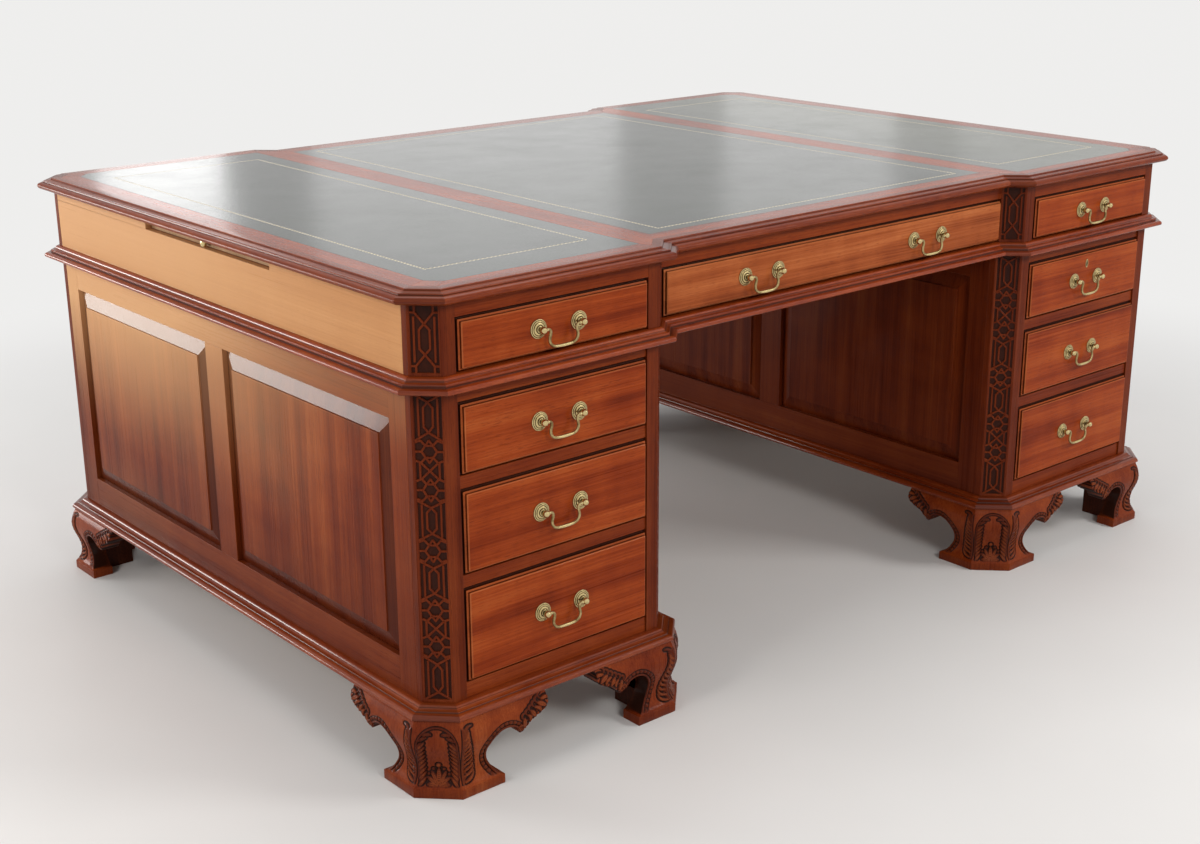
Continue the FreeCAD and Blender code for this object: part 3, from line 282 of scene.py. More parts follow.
class Net:
    """The nodes of a material or of the world."""

    def __init__(self, owner):
        owner.use_nodes = True
        self.owner, self.tree = owner, owner.node_tree
        self.tree.nodes.clear()

    def node(self, kind, settings=None, inputs=None, out=0):
        """A node of the kind: settings are made first, then sockets set or linked; gives one output."""
        made = self.tree.nodes.new("ShaderNode" + kind)
        for name, value in (settings or {}).items():
            if name == "stops":
                ramp = made.color_ramp
                while len(ramp.elements) < len(value):
                    ramp.elements.new(0.5)
                for element, (place, colour) in zip(ramp.elements, value):
                    element.position, element.color = place, (*colour, 1)
            else:
                setattr(made, name, value)
        for name, value in (inputs or {}).items():
            if isinstance(value, Socket):
                self.tree.links.new(value.socket, made.inputs[name])
            else:
                made.inputs[name].default_value = value
        return Socket(self, made.outputs[out]) if made.outputs else None

    def place(self):
        """The place on the piece, in metres, as a vector and as its three parts."""
        vector = self.node("TexCoord", out="Object")
        return (vector, *self.parts(vector))

    def own_map(self):
        """The two numbers of the piece's own map."""
        return self.parts(self.node("TexCoord", out="UV"))[:2]

    def shade(self):
        """The shade that each point of the piece holds."""
        return self.node("Attribute", {"attribute_name": "shade"}, out="Fac")

    def parts(self, vector):
        """The three parts of a vector."""
        return [self.node("SeparateXYZ", None, {0: vector}, axis) for axis in "XYZ"]

    def vector(self, x, y, z):
        """A vector of three parts."""
        return self.node("CombineXYZ", None, {"X": x, "Y": y, "Z": z})

    def noise(self, vector, scale, detail, rough=0.5):
        """Cloudy noise about 0.5 at a place."""
        return self.node("TexNoise", None,
                         {"Vector": vector, "Scale": scale, "Detail": detail, "Roughness": rough})

    def mix(self, share, a, b):
        """A mix of two colours; the sockets are those of the colour form."""
        a, b = (colour if isinstance(colour, Socket) else (*colour, 1) for colour in (a, b))
        return self.node("Mix", {"data_type": "RGBA"}, {0: share, 6: a, 7: b}, 2)

    def seen(self):
        """The share of rays that show a surface itself: from the camera, by gloss and through glass."""
        camera, gloss, glass = (self.node("LightPath", out="Is %s Ray" % ray)
                                for ray in ("Camera", "Glossy", "Transmission"))
        return camera.most(gloss).most(glass)

    def ramp(self, value, *stops):
        """A colour from stops, each a value and its colour."""
        return self.node("ValToRGB", {"stops": stops}, {"Fac": value})

    def bump(self, height, depth, strength):
        """A normal that follows a height; the depth is in metres."""
        return self.node("Bump", None, {"Height": height, "Distance": depth, "Strength": strength})

    def finish(self, colour, rough, normal, **others):
        """The surface: colour, roughness and normal, and the shader's other sockets by their names."""
        inputs = {"Base Color": colour, "Roughness": rough, "Normal": normal}
        for name, value in others.items():
            inputs[name.replace("_", " ").title().replace("Ior", "IOR")] = value
        shader = self.node("BsdfPrincipled", None, inputs)
        self.node("OutputMaterial", None, {"Surface": shader})
        return self.owner


def new_net(name):
    """The nodes of a new material."""
    return Net(bpy.data.materials.new(name))


# Colours of each wood, from its darkest line to its lightest
MAHOGANY = ((0.090, 0.0095, 0.0020), (0.205, 0.0270, 0.0046), (0.305, 0.0510, 0.0090), (0.410, 0.0930, 0.0200))
RUSSET = ((0.066, 0.0074, 0.0016), (0.148, 0.0200, 0.0038), (0.226, 0.0390, 0.0074), (0.320, 0.0740, 0.0170))
AMBER = ((0.140, 0.0240, 0.0058), (0.300, 0.0680, 0.0170), (0.420, 0.1150, 0.0330), (0.520, 0.1750, 0.0600))
DEEP = ((0.042, 0.0055, 0.0016), (0.098, 0.0135, 0.0032), (0.152, 0.0250, 0.0056), (0.220, 0.0460, 0.0110))
GOLDEN = ((0.430, 0.1850, 0.0680), (0.510, 0.2300, 0.0880), (0.570, 0.2700, 0.1060), (0.640, 0.3250, 0.1420))
# Gold of sun bleach together with painted window light on the ends
BLEACHED_AND_LIT = (0.690, 0.3800, 0.1750)
OAK = ((0.430, 0.2700, 0.1400), (0.550, 0.3700, 0.2050), (0.640, 0.4500, 0.2650), (0.700, 0.5200, 0.3250))
LINING = ((0.180, 0.0950, 0.0420), (0.300, 0.1750, 0.0830), (0.400, 0.2500, 0.1300), (0.480, 0.3200, 0.1800))
# Near-black painted shade for quirks, carved hollows, the fret's sunk ground and the gaps round drawer fronts
PAINTED_SHADE = (0.014, 0.0045, 0.0025)
CARCASS = ((0.120, 0.0600, 0.0270), (0.210, 0.1150, 0.0520), (0.280, 0.1650, 0.0800), (0.340, 0.2150, 0.1150))


def timber(net, along, across, third, tones, seed, figure):
    """Colour, roughness and height of a wood whose fibres run with the first of three coordinates, in metres.

    Broad ribbons drift across the fibres, fine lines run with them, and short pores are cut as dark dashes.
    """
    slow = net.noise(net.vector(along * 0.9 + seed, across * 4.0, third * 4.0), 1.0, 2.0)
    bend = (slow - 0.5) * 0.05
    ribbon = net.noise(net.vector(along * 0.9 + seed, (across + bend) * 26.0, (third + bend) * 26.0),
                       1.0, 3.0, 0.6)
    mottle = net.noise(net.vector(along * 14.0, across * 7.0 + seed, third * 7.0), 1.0, 2.0)
    line = net.noise(net.vector(along * 2.6 + seed, (across + bend * 0.5) * 330.0, third * 330.0),
                     1.0, 3.0, 0.65)
    pore = net.noise(net.vector(along * 60.0, across * 1300.0 + seed, third * 1300.0), 1.0, 1.0)
    dash = pore.rise(0.58, 0.70)
    value = ((ribbon - 0.5) * 0.95 * figure + (line - 0.5) * 0.55 + (mottle - 0.5) * 0.30 * figure
             + (slow - 0.5) * 0.35 + 0.5)
    colour = net.ramp(value, (0.14, tones[0]), (0.38, tones[1]), (0.60, tones[2]), (0.88, tones[3]))
    colour = net.mix(dash * 0.5, colour, tones[0])
    return colour, 0.30 + (line - 0.5) * 0.16 + dash * 0.12 + (slow - 0.5) * 0.1, line * 0.25 - dash


# Coats of old polish, and the depth of the pores in metres with the strength of their shading
POLISH = {"coat_weight": 0.08, "coat_roughness": 0.10, "specular_ior_level": 0.04}
RUBBED = {"coat_weight": 0.54, "coat_roughness": 0.13, "specular_ior_level": 0.04}
PORES = (0.00018, 0.5)
# Slopes of an outer panel from its rim to its field, in metres from the middle of the desk
BEVELS = (0.895, 0.899, 0.9084, 0.9090)
# Steps of a drawer front in metres proud of its opening: painted shadow in gap and on wall, painted highlight
# on ledge and arrises
GAP, WALL = (-0.0075, -0.0058, -0.0006, 0.0002), (0.0009, 0.0014, 0.0040, 0.0046)
LEDGE, ARRIS = (-0.0002, 0.0003, 0.0007, 0.0010), (0.0044, 0.0049, 0.0057, 0.0060)


def along_axes(net, grain):
    """The place's parts with the axis of the grain first."""
    _, x, y, z = net.place()
    return {"x": (x, y, z), "y": (y, x, z), "z": (z, x, y)}[grain]


def faded_and_lit(net, colour, share):
    """The colour of the ends: bleached by sun and lit by painted window light, most of all on the left, high
    up and to the rear.

    Low down and in the kneehole they get painted shade.
    """
    vector, x, y, z = net.place()
    patch = net.noise(vector, 1.9, 3.0)
    # Sun bleach with painted window light: high up, to the rear, and patchy
    high = z.rise(0.28, 0.66) * y.rise(-0.48, 0.30) * 0.92 + z.rise(0.52, 0.64) * 0.2
    outer = x.size().rise(0.87, 0.90)
    # Painted shade: the outer ends darker low down
    colour = net.mix(outer * z.rise(0.46, 0.16) * 0.38, colour, DEEP[0])
    bleach_and_glare = outer * (high + (patch - 0.5) * 0.3)
    # The bleach and painted light are stronger on the left end, where the window light falls
    share = (x.rise(0.2, -0.2) * 0.5 + 0.5) * share
    colour = net.mix(bleach_and_glare.most(0.0).least(0.9) * share, colour, BLEACHED_AND_LIT)
    # Painted shade in the kneehole
    return net.mix(x.size().rise(0.49, 0.46) * 0.5, colour, DEEP[0])


def on_bevels(x, y, z):
    """Where an outer panel slopes down from its raised field."""
    return x.size().band(*BEVELS)


def plain_wood(name, grain, tones, seed, figure=1.0, fade=0.0, glossy=None, **polish):
    """A wood on a CAD node or piece whose fibres run along one axis; fade is the share of sun bleach and
    painted light.

    Glossy gives the share of a place where the colour is made darker and the coat thicker.
    """
    net = new_net(name)
    colour, rough, height = timber(net, *along_axes(net, grain), tones, seed, figure)
    colour = faded_and_lit(net, colour, fade) if fade else colour
    if glossy:
        share = glossy(*net.place()[1:])
        colour = net.mix(share * 0.6, colour, DEEP[0])
        polish["coat_weight"] = POLISH["coat_weight"] + share * 0.14
    return net.finish(colour, rough, net.bump(height, *PORES), **{**POLISH, **polish})


def joined_wood(name, first, second, inside, fade=0.0, face=None):
    """Two woods on one node: each is (grain, tones, seed, figure), and inside gives the share of the second.

    Face is the distance of a drawer's opening from the middle: the steps of its front get painted shadow, and
    their ledge and arrises a painted highlight, partly as rubbed wear.
    """
    net = new_net(name)
    _, x, y, z = net.place()
    share = inside(x, y, z)
    c1, r1, h1 = timber(net, *along_axes(net, first[0]), *first[1:])
    c2, r2, h2 = timber(net, *along_axes(net, second[0]), *second[1:])
    colour = net.mix(share, c1, c2)
    colour = faded_and_lit(net, colour, fade) if fade else colour
    if face:
        proud = y.size() - face
        # Painted shadow in the gap round the front and on the wall of its step
        colour = net.mix((proud.band(*GAP) + proud.band(*WALL) * 0.8) * 0.92, colour, PAINTED_SHADE)
        # Painted highlight on the ledge and the arrises, partly as rubbed wear
        colour = net.mix(proud.band(*LEDGE) * 0.25 + proud.band(*ARRIS) * 0.4, colour, AMBER[3])
    rough = r1 + (r2 - r1) * share
    return net.finish(colour, rough, net.bump(h1 + (h2 - h1) * share, *PORES), **POLISH)


def length_wood(name, tones, seed, figure=0.7, **polish):
    """A wood whose fibres follow a moulding's or banding's length, read from the piece's own map."""
    net = new_net(name)
    u, v = net.own_map()
    _, x, y, _ = net.place()
    colour, rough, height = timber(net, u, v, (x + y) * 0.13, tones, seed, figure)
    # Painted shade: darkest in the quirks, lighter on the short lengths of the cants
    quirk = net.shade().rise(0.4, 0.05)
    colour = net.mix(quirk * 0.75, colour, PAINTED_SHADE)
    return net.finish(colour, rough - 0.06 + quirk * 0.2, net.bump(height, 0.00015, 0.4),
                      **{**RUBBED, **polish})


def carved_wood(name):
    """Carved mahogany: where the shade is low, in the hollows, it gets painted shade over dark old polish, and
    where it is high, on the crests, a painted highlight as well as rubbed wear.

    The piece's own map holds 1 on the canted corner across and 1 in carved places up; both get painted
    shade, the carved places most.
    """
    net = new_net(name)
    vector, *_ = net.place()
    depth = net.shade()
    colour, rough, height = timber(net, *along_axes(net, "z"), RUSSET, 3.7, 0.7)
    corner, carved = net.own_map()
    # Painted shade: a little darker on the cant, much darker in the carved places
    colour = net.mix(corner * 0.15 + carved * 0.6, colour, DEEP[0])
    grime_and_shade = net.noise(vector, 260.0, 3.0, 0.6)
    hollow_shade = (depth + (grime_and_shade - 0.5) * 0.2).rise(0.60, 0.20)
    crest_highlight = (depth + (grime_and_shade - 0.5) * 0.2).rise(0.78, 1.0)
    # Painted shade in the hollows, over dark old polish
    colour = net.mix(hollow_shade * 0.95, colour, PAINTED_SHADE)
    # Painted highlight on the crests, which are also rubbed
    colour = net.mix(crest_highlight * 0.5, colour, AMBER[1])
    return net.finish(colour, rough + hollow_shade * 0.25 - crest_highlight * 0.12,
                      net.bump(height * 0.5 + grime_and_shade * 0.8, 0.0003, 0.5), **{**RUBBED, "coat_weight": 0.14})


def fret_ground(name):
    """The sunk ground behind the fret: painted nearly black as shade in the recess, dull and a little uneven.
    """
    net = new_net(name)
    vector, x, y, z = net.place()
    colour, rough, _ = timber(net, z, x, y, DEEP, 9.1, 0.4)
    patch = net.noise(vector, 140.0, 3.0, 0.6)
    # Painted shade: the recessed ground darkened almost to black
    colour = net.mix(0.84 + (patch - 0.5) * 0.3, colour, PAINTED_SHADE)
    return net.finish(colour, rough + 0.22, net.bump(patch, 0.0003, 0.5), specular_ior_level=0.12)


def aged_brass(name, rub=None):
    """Lacquered brass gone brown in its hollows; rub, or else the shade, is how far it is rubbed bright."""
    net = new_net(name)
    vector, *_ = net.place()
    rub = rub or net.shade()
    cloud = net.noise(vector, 120.0, 4.0, 0.6)
    speck = net.noise(vector, 1400.0, 2.0, 0.6)
    bright = (rub + (cloud - 0.5) * 0.9).rise(0.1, 0.9)
    colour = net.ramp(bright, (0.0, (0.048, 0.031, 0.013)), (0.45, (0.260, 0.185, 0.078)),
                      (1.0, (0.620, 0.485, 0.235)))
    colour = net.mix(speck.rise(0.62, 0.74) * 0.5, colour, (0.110, 0.072, 0.036))
    return net.finish(colour, 0.40 - bright * 0.16 + (speck - 0.5) * 0.12,
                      net.bump(speck + cloud, 0.0001, 0.35), metallic=1.0)


# Leather panels in metres: middle, half sizes, and the tooled line's distances from the sides and the ends
PANELS = ((0.0, 0.41825, 0.544, 0.042, 0.026), (-0.671875, 0.195625, 0.5865, 0.043, 0.078),
          (0.671875, 0.195625, 0.5865, 0.043, 0.078))
ROLL_WIDTH, ROLL_REPEAT = 0.0029, 0.0080
LEATHER_RIM = (-0.0005, 0.0, 0.0010, 0.0026)


def tooled_leather(name):
    """Green-black hide with a fine pebble, and a gold roll stamped round each panel.

    The roll lies where the distance inside a panel's rectangle is one number; sines along it make it a chain.
    """
    net = new_net(name)
    vector, x, y, _ = net.place()
    pebble = net.node("TexVoronoi", {"feature": "F1"}, {"Vector": vector, "Scale": 620.0, "Randomness": 0.9})
    crease = net.noise(vector, 240.0, 4.0, 0.6)
    cloud = net.noise(vector, 2.6, 3.0, 0.55)
    worn = net.noise(vector, 9.0, 4.0, 0.6)
    roll, edge = None, None
    for middle, half_x, half_y, inset_x, inset_y in PANELS:
        rim_x = half_x - (x - middle).size()
        rim_y = half_y - y.size()
        dx, dy = rim_x - inset_x, rim_y - inset_y
        inner = dx.least(dy)
        by_side = dx.maths("LESS_THAN", dy)
        run = y * by_side + x * (1 - by_side)
        wave = (run * (2 * math.pi / ROLL_REPEAT)).sine() * (ROLL_WIDTH * 0.45)
        mark = (inner - wave).size().rise(ROLL_WIDTH * 0.75, ROLL_WIDTH * 0.4)
        near = rim_x.least(rim_y).band(*LEATHER_RIM)
        roll = mark if roll is None else roll.most(mark)
        edge = near if edge is None else edge.most(near)
    gilt = roll * (0.55 + (crease - 0.5) * 1.2).rise(0.1, 0.6)
    hide = net.ramp(cloud * 0.6 + worn * 0.4, (0.25, (0.0075, 0.0105, 0.0080)),
                    (0.55, (0.0150, 0.0205, 0.0140)), (0.85, (0.0290, 0.0350, 0.0230)))
    hide = net.mix(x.rise(0.3, 0.8) * 0.6, hide, (0.052, 0.058, 0.022))
    hide = net.mix(edge * 0.8, hide, (0.004, 0.004, 0.004))
    colour = net.mix(gilt, hide, (0.560, 0.470, 0.300))
    height = pebble * 0.5 + crease * 0.6 - roll * 1.5
    rough = 0.19 + (worn - 0.5) * 0.14 + (crease - 0.5) * 0.08 + gilt * 0.15
    return net.finish(colour, rough, net.bump(height, 0.00022, 0.55), coat_weight=0.12, coat_roughness=0.15,
                      specular_ior_level=0.24)


# Woods of the nodes that are shown as they are

# Edges of rails in metres: half the way between the stiles, top of the lower rail and foot of the upper one
SIDE_RAILS, DOOR_RAILS = (0.5260, 0.2015, 0.5820), (0.1300, 0.2305, 0.5550)
# Rim of a slide's end painted dark as shadow, in metres: foot, sides and depth, and the soft edges of that
# shadow and of joints
SLIDE_FOOT, SLIDE_SIDE, SLIDE_END, SHADOW_BLUR, JOINT_BLUR = 0.7486, 0.2082, 0.8990, 0.0004, 0.0005
# Backs of the rails' mahogany in millimetres from the desk's middle, and the thickness of a drawer's front
PEDESTAL_RAIL_BACK, FRIEZE_RAIL_BACK, FRONT_THICK = 558.0, 561.0, 24.0
# Eased arrises in metres
USUAL_ARRIS, DRAWER_ARRIS = 0.0006, 0.0009


def between_stiles(across, z, edges):
    """Where a frame has a rail: between its stiles, above or below its panels."""
    half, low, high = edges
    return across.under(half) * (z.under(low) + z.above(high))


def in_rails(x, y, z):
    """Where a pedestal side has a rail."""
    return between_stiles(y.size(), z, SIDE_RAILS)


def in_door_rails(x, y, z):
    """Where a door has a rail."""
    return between_stiles((x.size() - MIDDLE_X * MM).size(), z, DOOR_RAILS)


def round_slide(x, y, z):
    """Where a slide's outer end is painted dark as shadow: along its foot and down its sides."""
    rim = z.under(SLIDE_FOOT, SHADOW_BLUR).most(y.size().above(SLIDE_SIDE, SHADOW_BLUR))
    return rim * x.size().above(SLIDE_END, JOINT_BLUR)


def inside_of(plane):
    """Where a piece is inner wood: nearer the middle of the desk than a plane, in millimetres."""
    return lambda x, y, z: y.size().under(plane * MM, JOINT_BLUR)


def dress(node, material, arris=USUAL_ARRIS):
    """Gives a CAD node its finish, and eases its arrises by live modifiers on the merged flats."""
    thing = NODES[node]
    thing.data.materials.clear()
    thing.data.materials.append(material)
    weld = thing.modifiers.new("weld", "WELD")
    weld.merge_threshold = 0.00001
    flats = thing.modifiers.new("flats", "DECIMATE")
    flats.decimate_type = "DISSOLVE"
    flats.angle_limit = math.radians(0.5)
    ease = thing.modifiers.new("ease", "BEVEL")
    ease.width, ease.segments, ease.limit_method = arris, 2, "ANGLE"
    ease.angle_limit = math.radians(25)


brass, fitting_brass = aged_brass("aged_brass"), aged_brass("fitting_brass", 0.6)
post_wood = plain_wood("post_mahogany", "z", DEEP, 1.3)
end_wood = plain_wood("end_board_mahogany", "y", GOLDEN, 5.2, 0.9, 0.75)
panel_wood = plain_wood("panel_mahogany", "z", RUSSET, 2.9, 1.3, 1.0, on_bevels)
carcass_wood = plain_wood("carcass_deal", "y", CARCASS, 4.4, 0.8, coat_weight=0.0)
slide_wood = joined_wood("slide_oak", ("x", OAK, 6.1, 1.0), ("x", DEEP, 6.1, 1.0), round_slide)
frame_wood = joined_wood("side_frame_mahogany", ("z", RUSSET, 7.7, 0.9), ("y", RUSSET, 8.3, 0.9),
                         in_rails, 1.0)
door_wood = joined_wood("door_mahogany", ("z", MAHOGANY, 3.1, 1.1), ("x", MAHOGANY, 6.6, 0.9), in_door_rails)
rail_wood = joined_wood("rail_mahogany", ("x", RUSSET, 2.2, 0.8), ("y", CARCASS, 1.9, 0.7),
                        inside_of(PEDESTAL_RAIL_BACK))
frieze_rail_wood = joined_wood("frieze_rail_mahogany", ("x", RUSSET, 9.4, 0.8), ("y", CARCASS, 5.9, 0.7),
                               inside_of(FRIEZE_RAIL_BACK))

for name, material in (("frieze_posts", post_wood), ("pedestal_posts", post_wood),
                       ("frieze_end_boards", end_wood), ("frieze_frame", frieze_rail_wood),
                       ("pedestal_side_frames", frame_wood), ("pedestal_side_panels", panel_wood),
                       ("pedestal_rails_and_runners", rail_wood), ("pedestal_boards", carcass_wood),
                       ("left_slide", slide_wood), ("right_slide", slide_wood),
                       ("left_door", door_wood), ("right_door", door_wood)):
    dress(name, material)
dress("leather_panels", tooled_leather("tooled_leather"))

# Rows of drawers: names, distance of their openings from the middle, and level of their handles
ROWS = ((("left_frieze_drawer", "right_frieze_drawer"), FRONT_Y, 700.5),
        (("centre_frieze_drawer",), BREAK_Y, 700.5),
        (("left_top_drawer", "right_top_drawer"), FACE_Y, 558.0),
        (("left_middle_drawer", "right_middle_drawer"), FACE_Y, 413.5),
        (("left_bottom_drawer", "right_bottom_drawer"), FACE_Y, 248.25))
FRIEZE_HANDLE_X, CENTRE_HANDLE_X, FRONT_PROUD = 671.5, 212.0, 6.0
# For each drawer: its handles' places across, the plane and level of their seats, and the side that they face
DRAWERS = {}
for row, (names, face, z) in enumerate(ROWS):
    tones = AMBER if face == BREAK_Y else MAHOGANY
    wood = joined_wood("drawer_wood_%d" % row, ("x", tones, 11.3 + 2.7 * row, 1.2), ("y", LINING, 4.1, 0.8),
                       inside_of(face - FRONT_THICK), face=face * MM)
    for name in names:
        x = FRIEZE_HANDLE_X if face == FRONT_Y else MIDDLE_X
        spots = (-CENTRE_HANDLE_X, CENTRE_HANDLE_X) if "centre" in name else (-x if "left" in name else x,)
        for rank, side in (("", -1.0),) if face == FACE_Y else (("", -1.0), ("rear_", 1.0)):
            DRAWERS[rank + name] = (spots, side * (face + FRONT_PROUD), z, side)
            dress(rank + name, wood, DRAWER_ARRIS)


# Plans of the mouldings

def round_the_desk(quarter):
    """All corners of a plan from those of its right rear quarter, anticlockwise."""
    quarter = np.array(quarter)
    half = np.vstack([quarter, quarter[::-1] * (-1, 1)])
    return np.vstack([half, -half])


FRIEZE_PLAN = round_the_desk([(END_X, FRONT_Y - CANT), (END_X - CANT, FRONT_Y), (KNEE_X + BREAK, FRONT_Y),
                              (KNEE_X, BREAK_Y)])
PEDESTAL_HALF = (OUTER_X - KNEE_X) / 2
PEDESTAL_PLAN = round_the_desk([(PEDESTAL_HALF, FACE_Y - CANT), (PEDESTAL_HALF - CANT, FACE_Y)])
TOP_EDGE = section((-14, 767), (15.5, 767), (27, 773.6, 24.6, 767), (17.2, 780.4, 26.8, 779.8), (16.4, 780.6),
                   (16.2, 782.6), (15.2, 783.3), (9, 783.6, 12, 782.9), (3.4, 784.6, 5.2, 784.2),
                   (3.0, 785.6), (0.8, 787, 2.8, 787), (-14, 787))
WAIST_EDGE = section((-12, 637), (20.6, 637), (26.5, 641.7, 26.5, 637.2), (20.4, 646.3, 26.5, 646.1),
                     (15.6, 646.4), (15.2, 646.9), (15.2, 651.0), (14.6, 651.5), (8.2, 653.4, 9.4, 651.2),
                     (7.4, 653.9), (1.2, 659, 7.4, 658.6), (-12, 659))
BASE_EDGE = section((-45, 127.5), (26.0, 127.5), (28, 130.6, 28, 128.2), (19.6, 137.3, 27.4, 137),
                    (18.2, 137.6), (17.8, 138.1), (17.7, 139.4), (10.2, 141.5, 13.4, 138.8), (9.2, 141.9),
                    (8.8, 142.6), (2.0, 145.5, 8.4, 145.4), (-45, 145.5))


def make_top():
    """The top: lengths of moulding, banding between them and the leather, and the ground under it."""
    shape = Shape()
    shape.lengths(FRIEZE_PLAN, TOP_EDGE)
    # Corners of the front left quarter: along the back of the moulding, and then round the leather
    a, b, c, d = (-898.5, -579.7), (-871.7, -606.5), (-469.8, -606.5), (-436.3, -573.0)
    outer, nook, inner, middle = (-867.5, -564.5), (-845.5, -586.5), (-476.25, -586.5), (-418.25, -544.0)

    def flip(points, x=1, y=1):
        """The points mirrored where x or y is -1."""
        return [(px * x, py * y) for px, py in points]

    end = [a, outer] + flip([outer, a], y=-1)
    bar = [inner, c, d, middle] + flip([middle, d, c, inner], y=-1)
    bed = [outer, nook, inner] + flip([inner, nook, outer], y=-1)
    for x in (1, -1):
        shape.slab(flip(end, x), DESK_Z, (0, 1))
        shape.slab(flip(bar, x), DESK_Z, (0, 1))
        shape.slab(flip(bed, x), BED_Z)
        for y in (1, -1):
            shape.slab(flip([a, b, nook, outer], x, y), DESK_Z, (x * y * DIAGONAL, DIAGONAL))
            shape.slab(flip([b, c, inner, nook], x, y), DESK_Z)
    for y in (1, -1):
        shape.slab(flip([d] + flip([d, middle], -1) + [middle], 1, y), DESK_Z)
    shape.slab([middle] + flip([middle], -1) + flip([middle], -1, -1) + flip([middle], 1, -1), BED_Z)
    woods = [length_wood("top_edge_mahogany", RUSSET, 2.5, coat_weight=0.30),
             length_wood("banding_mahogany", MAHOGANY, 4.7, 0.9, coat_weight=0.30)]
    shape.piece("moulded_top", "desk", woods, ["top_board"])


def make_mouldings():
    """The waist round the frieze and the base round each pedestal."""
    waist = Shape()
    waist.lengths(FRIEZE_PLAN, WAIST_EDGE)
    waist.piece("waist_mouldings", "desk", [length_wood("waist_mahogany", MAHOGANY, 6.5)],
                ["waist_moulding"])
    base = Shape()
    for side in (-1, 1):
        base.lengths(PEDESTAL_PLAN + (side * MIDDLE_X, 0), BASE_EDGE)
    base.piece("base_moulding_lengths", "desk", [length_wood("base_mahogany", RUSSET, 8.1)],
               ["base_mouldings"])


# Blind fret on the canted corners: bars as pairs of points, in shares of half the width and of a cell height
SIDE_BAR = 0.70
LONG_CELL = (((-1, 0.0), (0, 0.17)), ((-0.34, 0.30), (0, 0.17)), ((-0.34, 0.30), (-0.34, 0.70)),
             ((-0.34, 0.70), (0, 0.83)), ((-1, 1.0), (0, 0.83)), ((-SIDE_BAR, 0.10), (-SIDE_BAR, 0.90)))
STAR_CELL = (((-0.56, 0.5), (-0.27, 0.77)), ((-0.56, 0.5), (-0.27, 0.23)), ((-0.27, 0.77), (0, 0.77)),
             ((-0.27, 0.23), (0, 0.23)), ((-1, 0.5), (-0.56, 0.5)), ((-0.27, 0.77), (-0.62, 1.0)),
             ((-0.27, 0.23), (-0.62, 0.0)), ((-0.62, 1.0), (-1, 0.92)), ((-0.62, 0.0), (-1, 0.08)),
             ((-0.27, 0.77), (0, 1.0)), ((-0.27, 0.23), (0, 0.0)))
CROSS_CELL = (((-0.62, 0.0), (0, 0.5)), ((-0.62, 1.0), (0, 0.5)), ((-SIDE_BAR, 0.0), (-SIDE_BAR, 1.0)))
UPPER_FRET = ((LONG_CELL, 70.0), (STAR_CELL, 34.0), (CROSS_CELL, 25.0), (STAR_CELL, 34.0), (LONG_CELL, 61.0))
TALL_FRET = (*UPPER_FRET, (STAR_CELL, 34.0), *UPPER_FRET[::-1])
SHORT_CELL = (((-1, 0.10), (-0.66, 0.10)), ((-0.66, 0.0), (-0.66, 0.10)), ((-0.66, 0.10), (0, 0.27)),
              ((-0.38, 0.36), (0, 0.27)), ((-0.38, 0.36), (-0.38, 0.64)), ((-0.38, 0.64), (0, 0.73)),
              ((-0.66, 0.90), (0, 0.73)), ((-1, 0.90), (-0.66, 0.90)), ((-0.66, 0.90), (-0.66, 1.0)),
              ((-0.74, 0.17), (-0.74, 0.83)))
FRET_BAR, FRET_DEPTH, FRET_SIDE, FRET_END, FRET_SUNK, FRET_LAP = 3.3, 2.4, 4.5, 5.0, 2.5, 0.9
# Section of a bar: shares of half its width and heights; crossing bars differ by a small step in height
FRET_SECTION = ((1.0, 0.1), (1.0, FRET_DEPTH - 0.5), (0.66, FRET_DEPTH), (-0.66, FRET_DEPTH),
                (-1.0, FRET_DEPTH - 0.5), (-1.0, 0.1))
FRET_STEP, FRET_STEPS, FRET_GROUND = 0.012, 5, (0.02, 0.15)


def fret_bars(cells, half, low, height):
    """Ends of all bars on a ground: starts and ends as across and up, each cell's bars on both sides."""
    total = sum(tall for _, tall in cells)
    bars, base = [], low + height
    for cell, tall in cells:
        tall = tall * height / total
        base -= tall
        for side in (-1, 1):
            bars += [[(side * u * half, base + v * tall) for u, v in bar] for bar in cell]
    return np.array(bars)


def add_fret(shape, start, end, low, height, cells):
    """A fret on the cant between two plan points: a thin ground, and a bar with eased arrises for each pair.

    A bar's point lies at end + side * share * half the bar's width on the ground, at its height out from it.
    """
    start, end = np.array(start, float), np.array(end, float)
    across = np.append(unit(end - start), 0)
    out = np.array([across[1], -across[0], 0])
    middle = np.append((start + end) / 2, 0)
    up = np.array([0, 0, 1.0])
    half = np.linalg.norm(end - start) / 2 - FRET_SIDE
    base, tall = low + FRET_END, height - 2 * FRET_END
    corners = np.array([(-half, base), (half, base), (half, base + tall), (-half, base + tall)])
    sunk = middle - out * FRET_SUNK
    plate = np.stack([sunk + corners[:, :1] * across + corners[:, 1:] * up + out * lift
                      for lift in FRET_GROUND])
    shape.tube(plate, 1)
    bars = fret_bars(cells, half, base, tall)
    ahead = unit(bars[:, 1] - bars[:, 0])
    side = np.stack([-ahead[:, 1], ahead[:, 0]], 1)
    lap = ahead * FRET_LAP
    ends = np.clip(np.stack([bars[:, 0] - lap, bars[:, 1] + lap], 1), corners[0], corners[2])
    share, height = np.array(FRET_SECTION).T
    spot = ends[:, :, None] + side[:, None, None] * (share * FRET_BAR / 2)[:, None]
    lift = height - FRET_STEP * (np.arange(len(bars)) % FRET_STEPS)[:, None]
    rings = sunk + spot[..., :1] * across + spot[..., 1:] * up + lift[:, None, :, None] * out
    for bar in rings:
        shape.tube(bar)


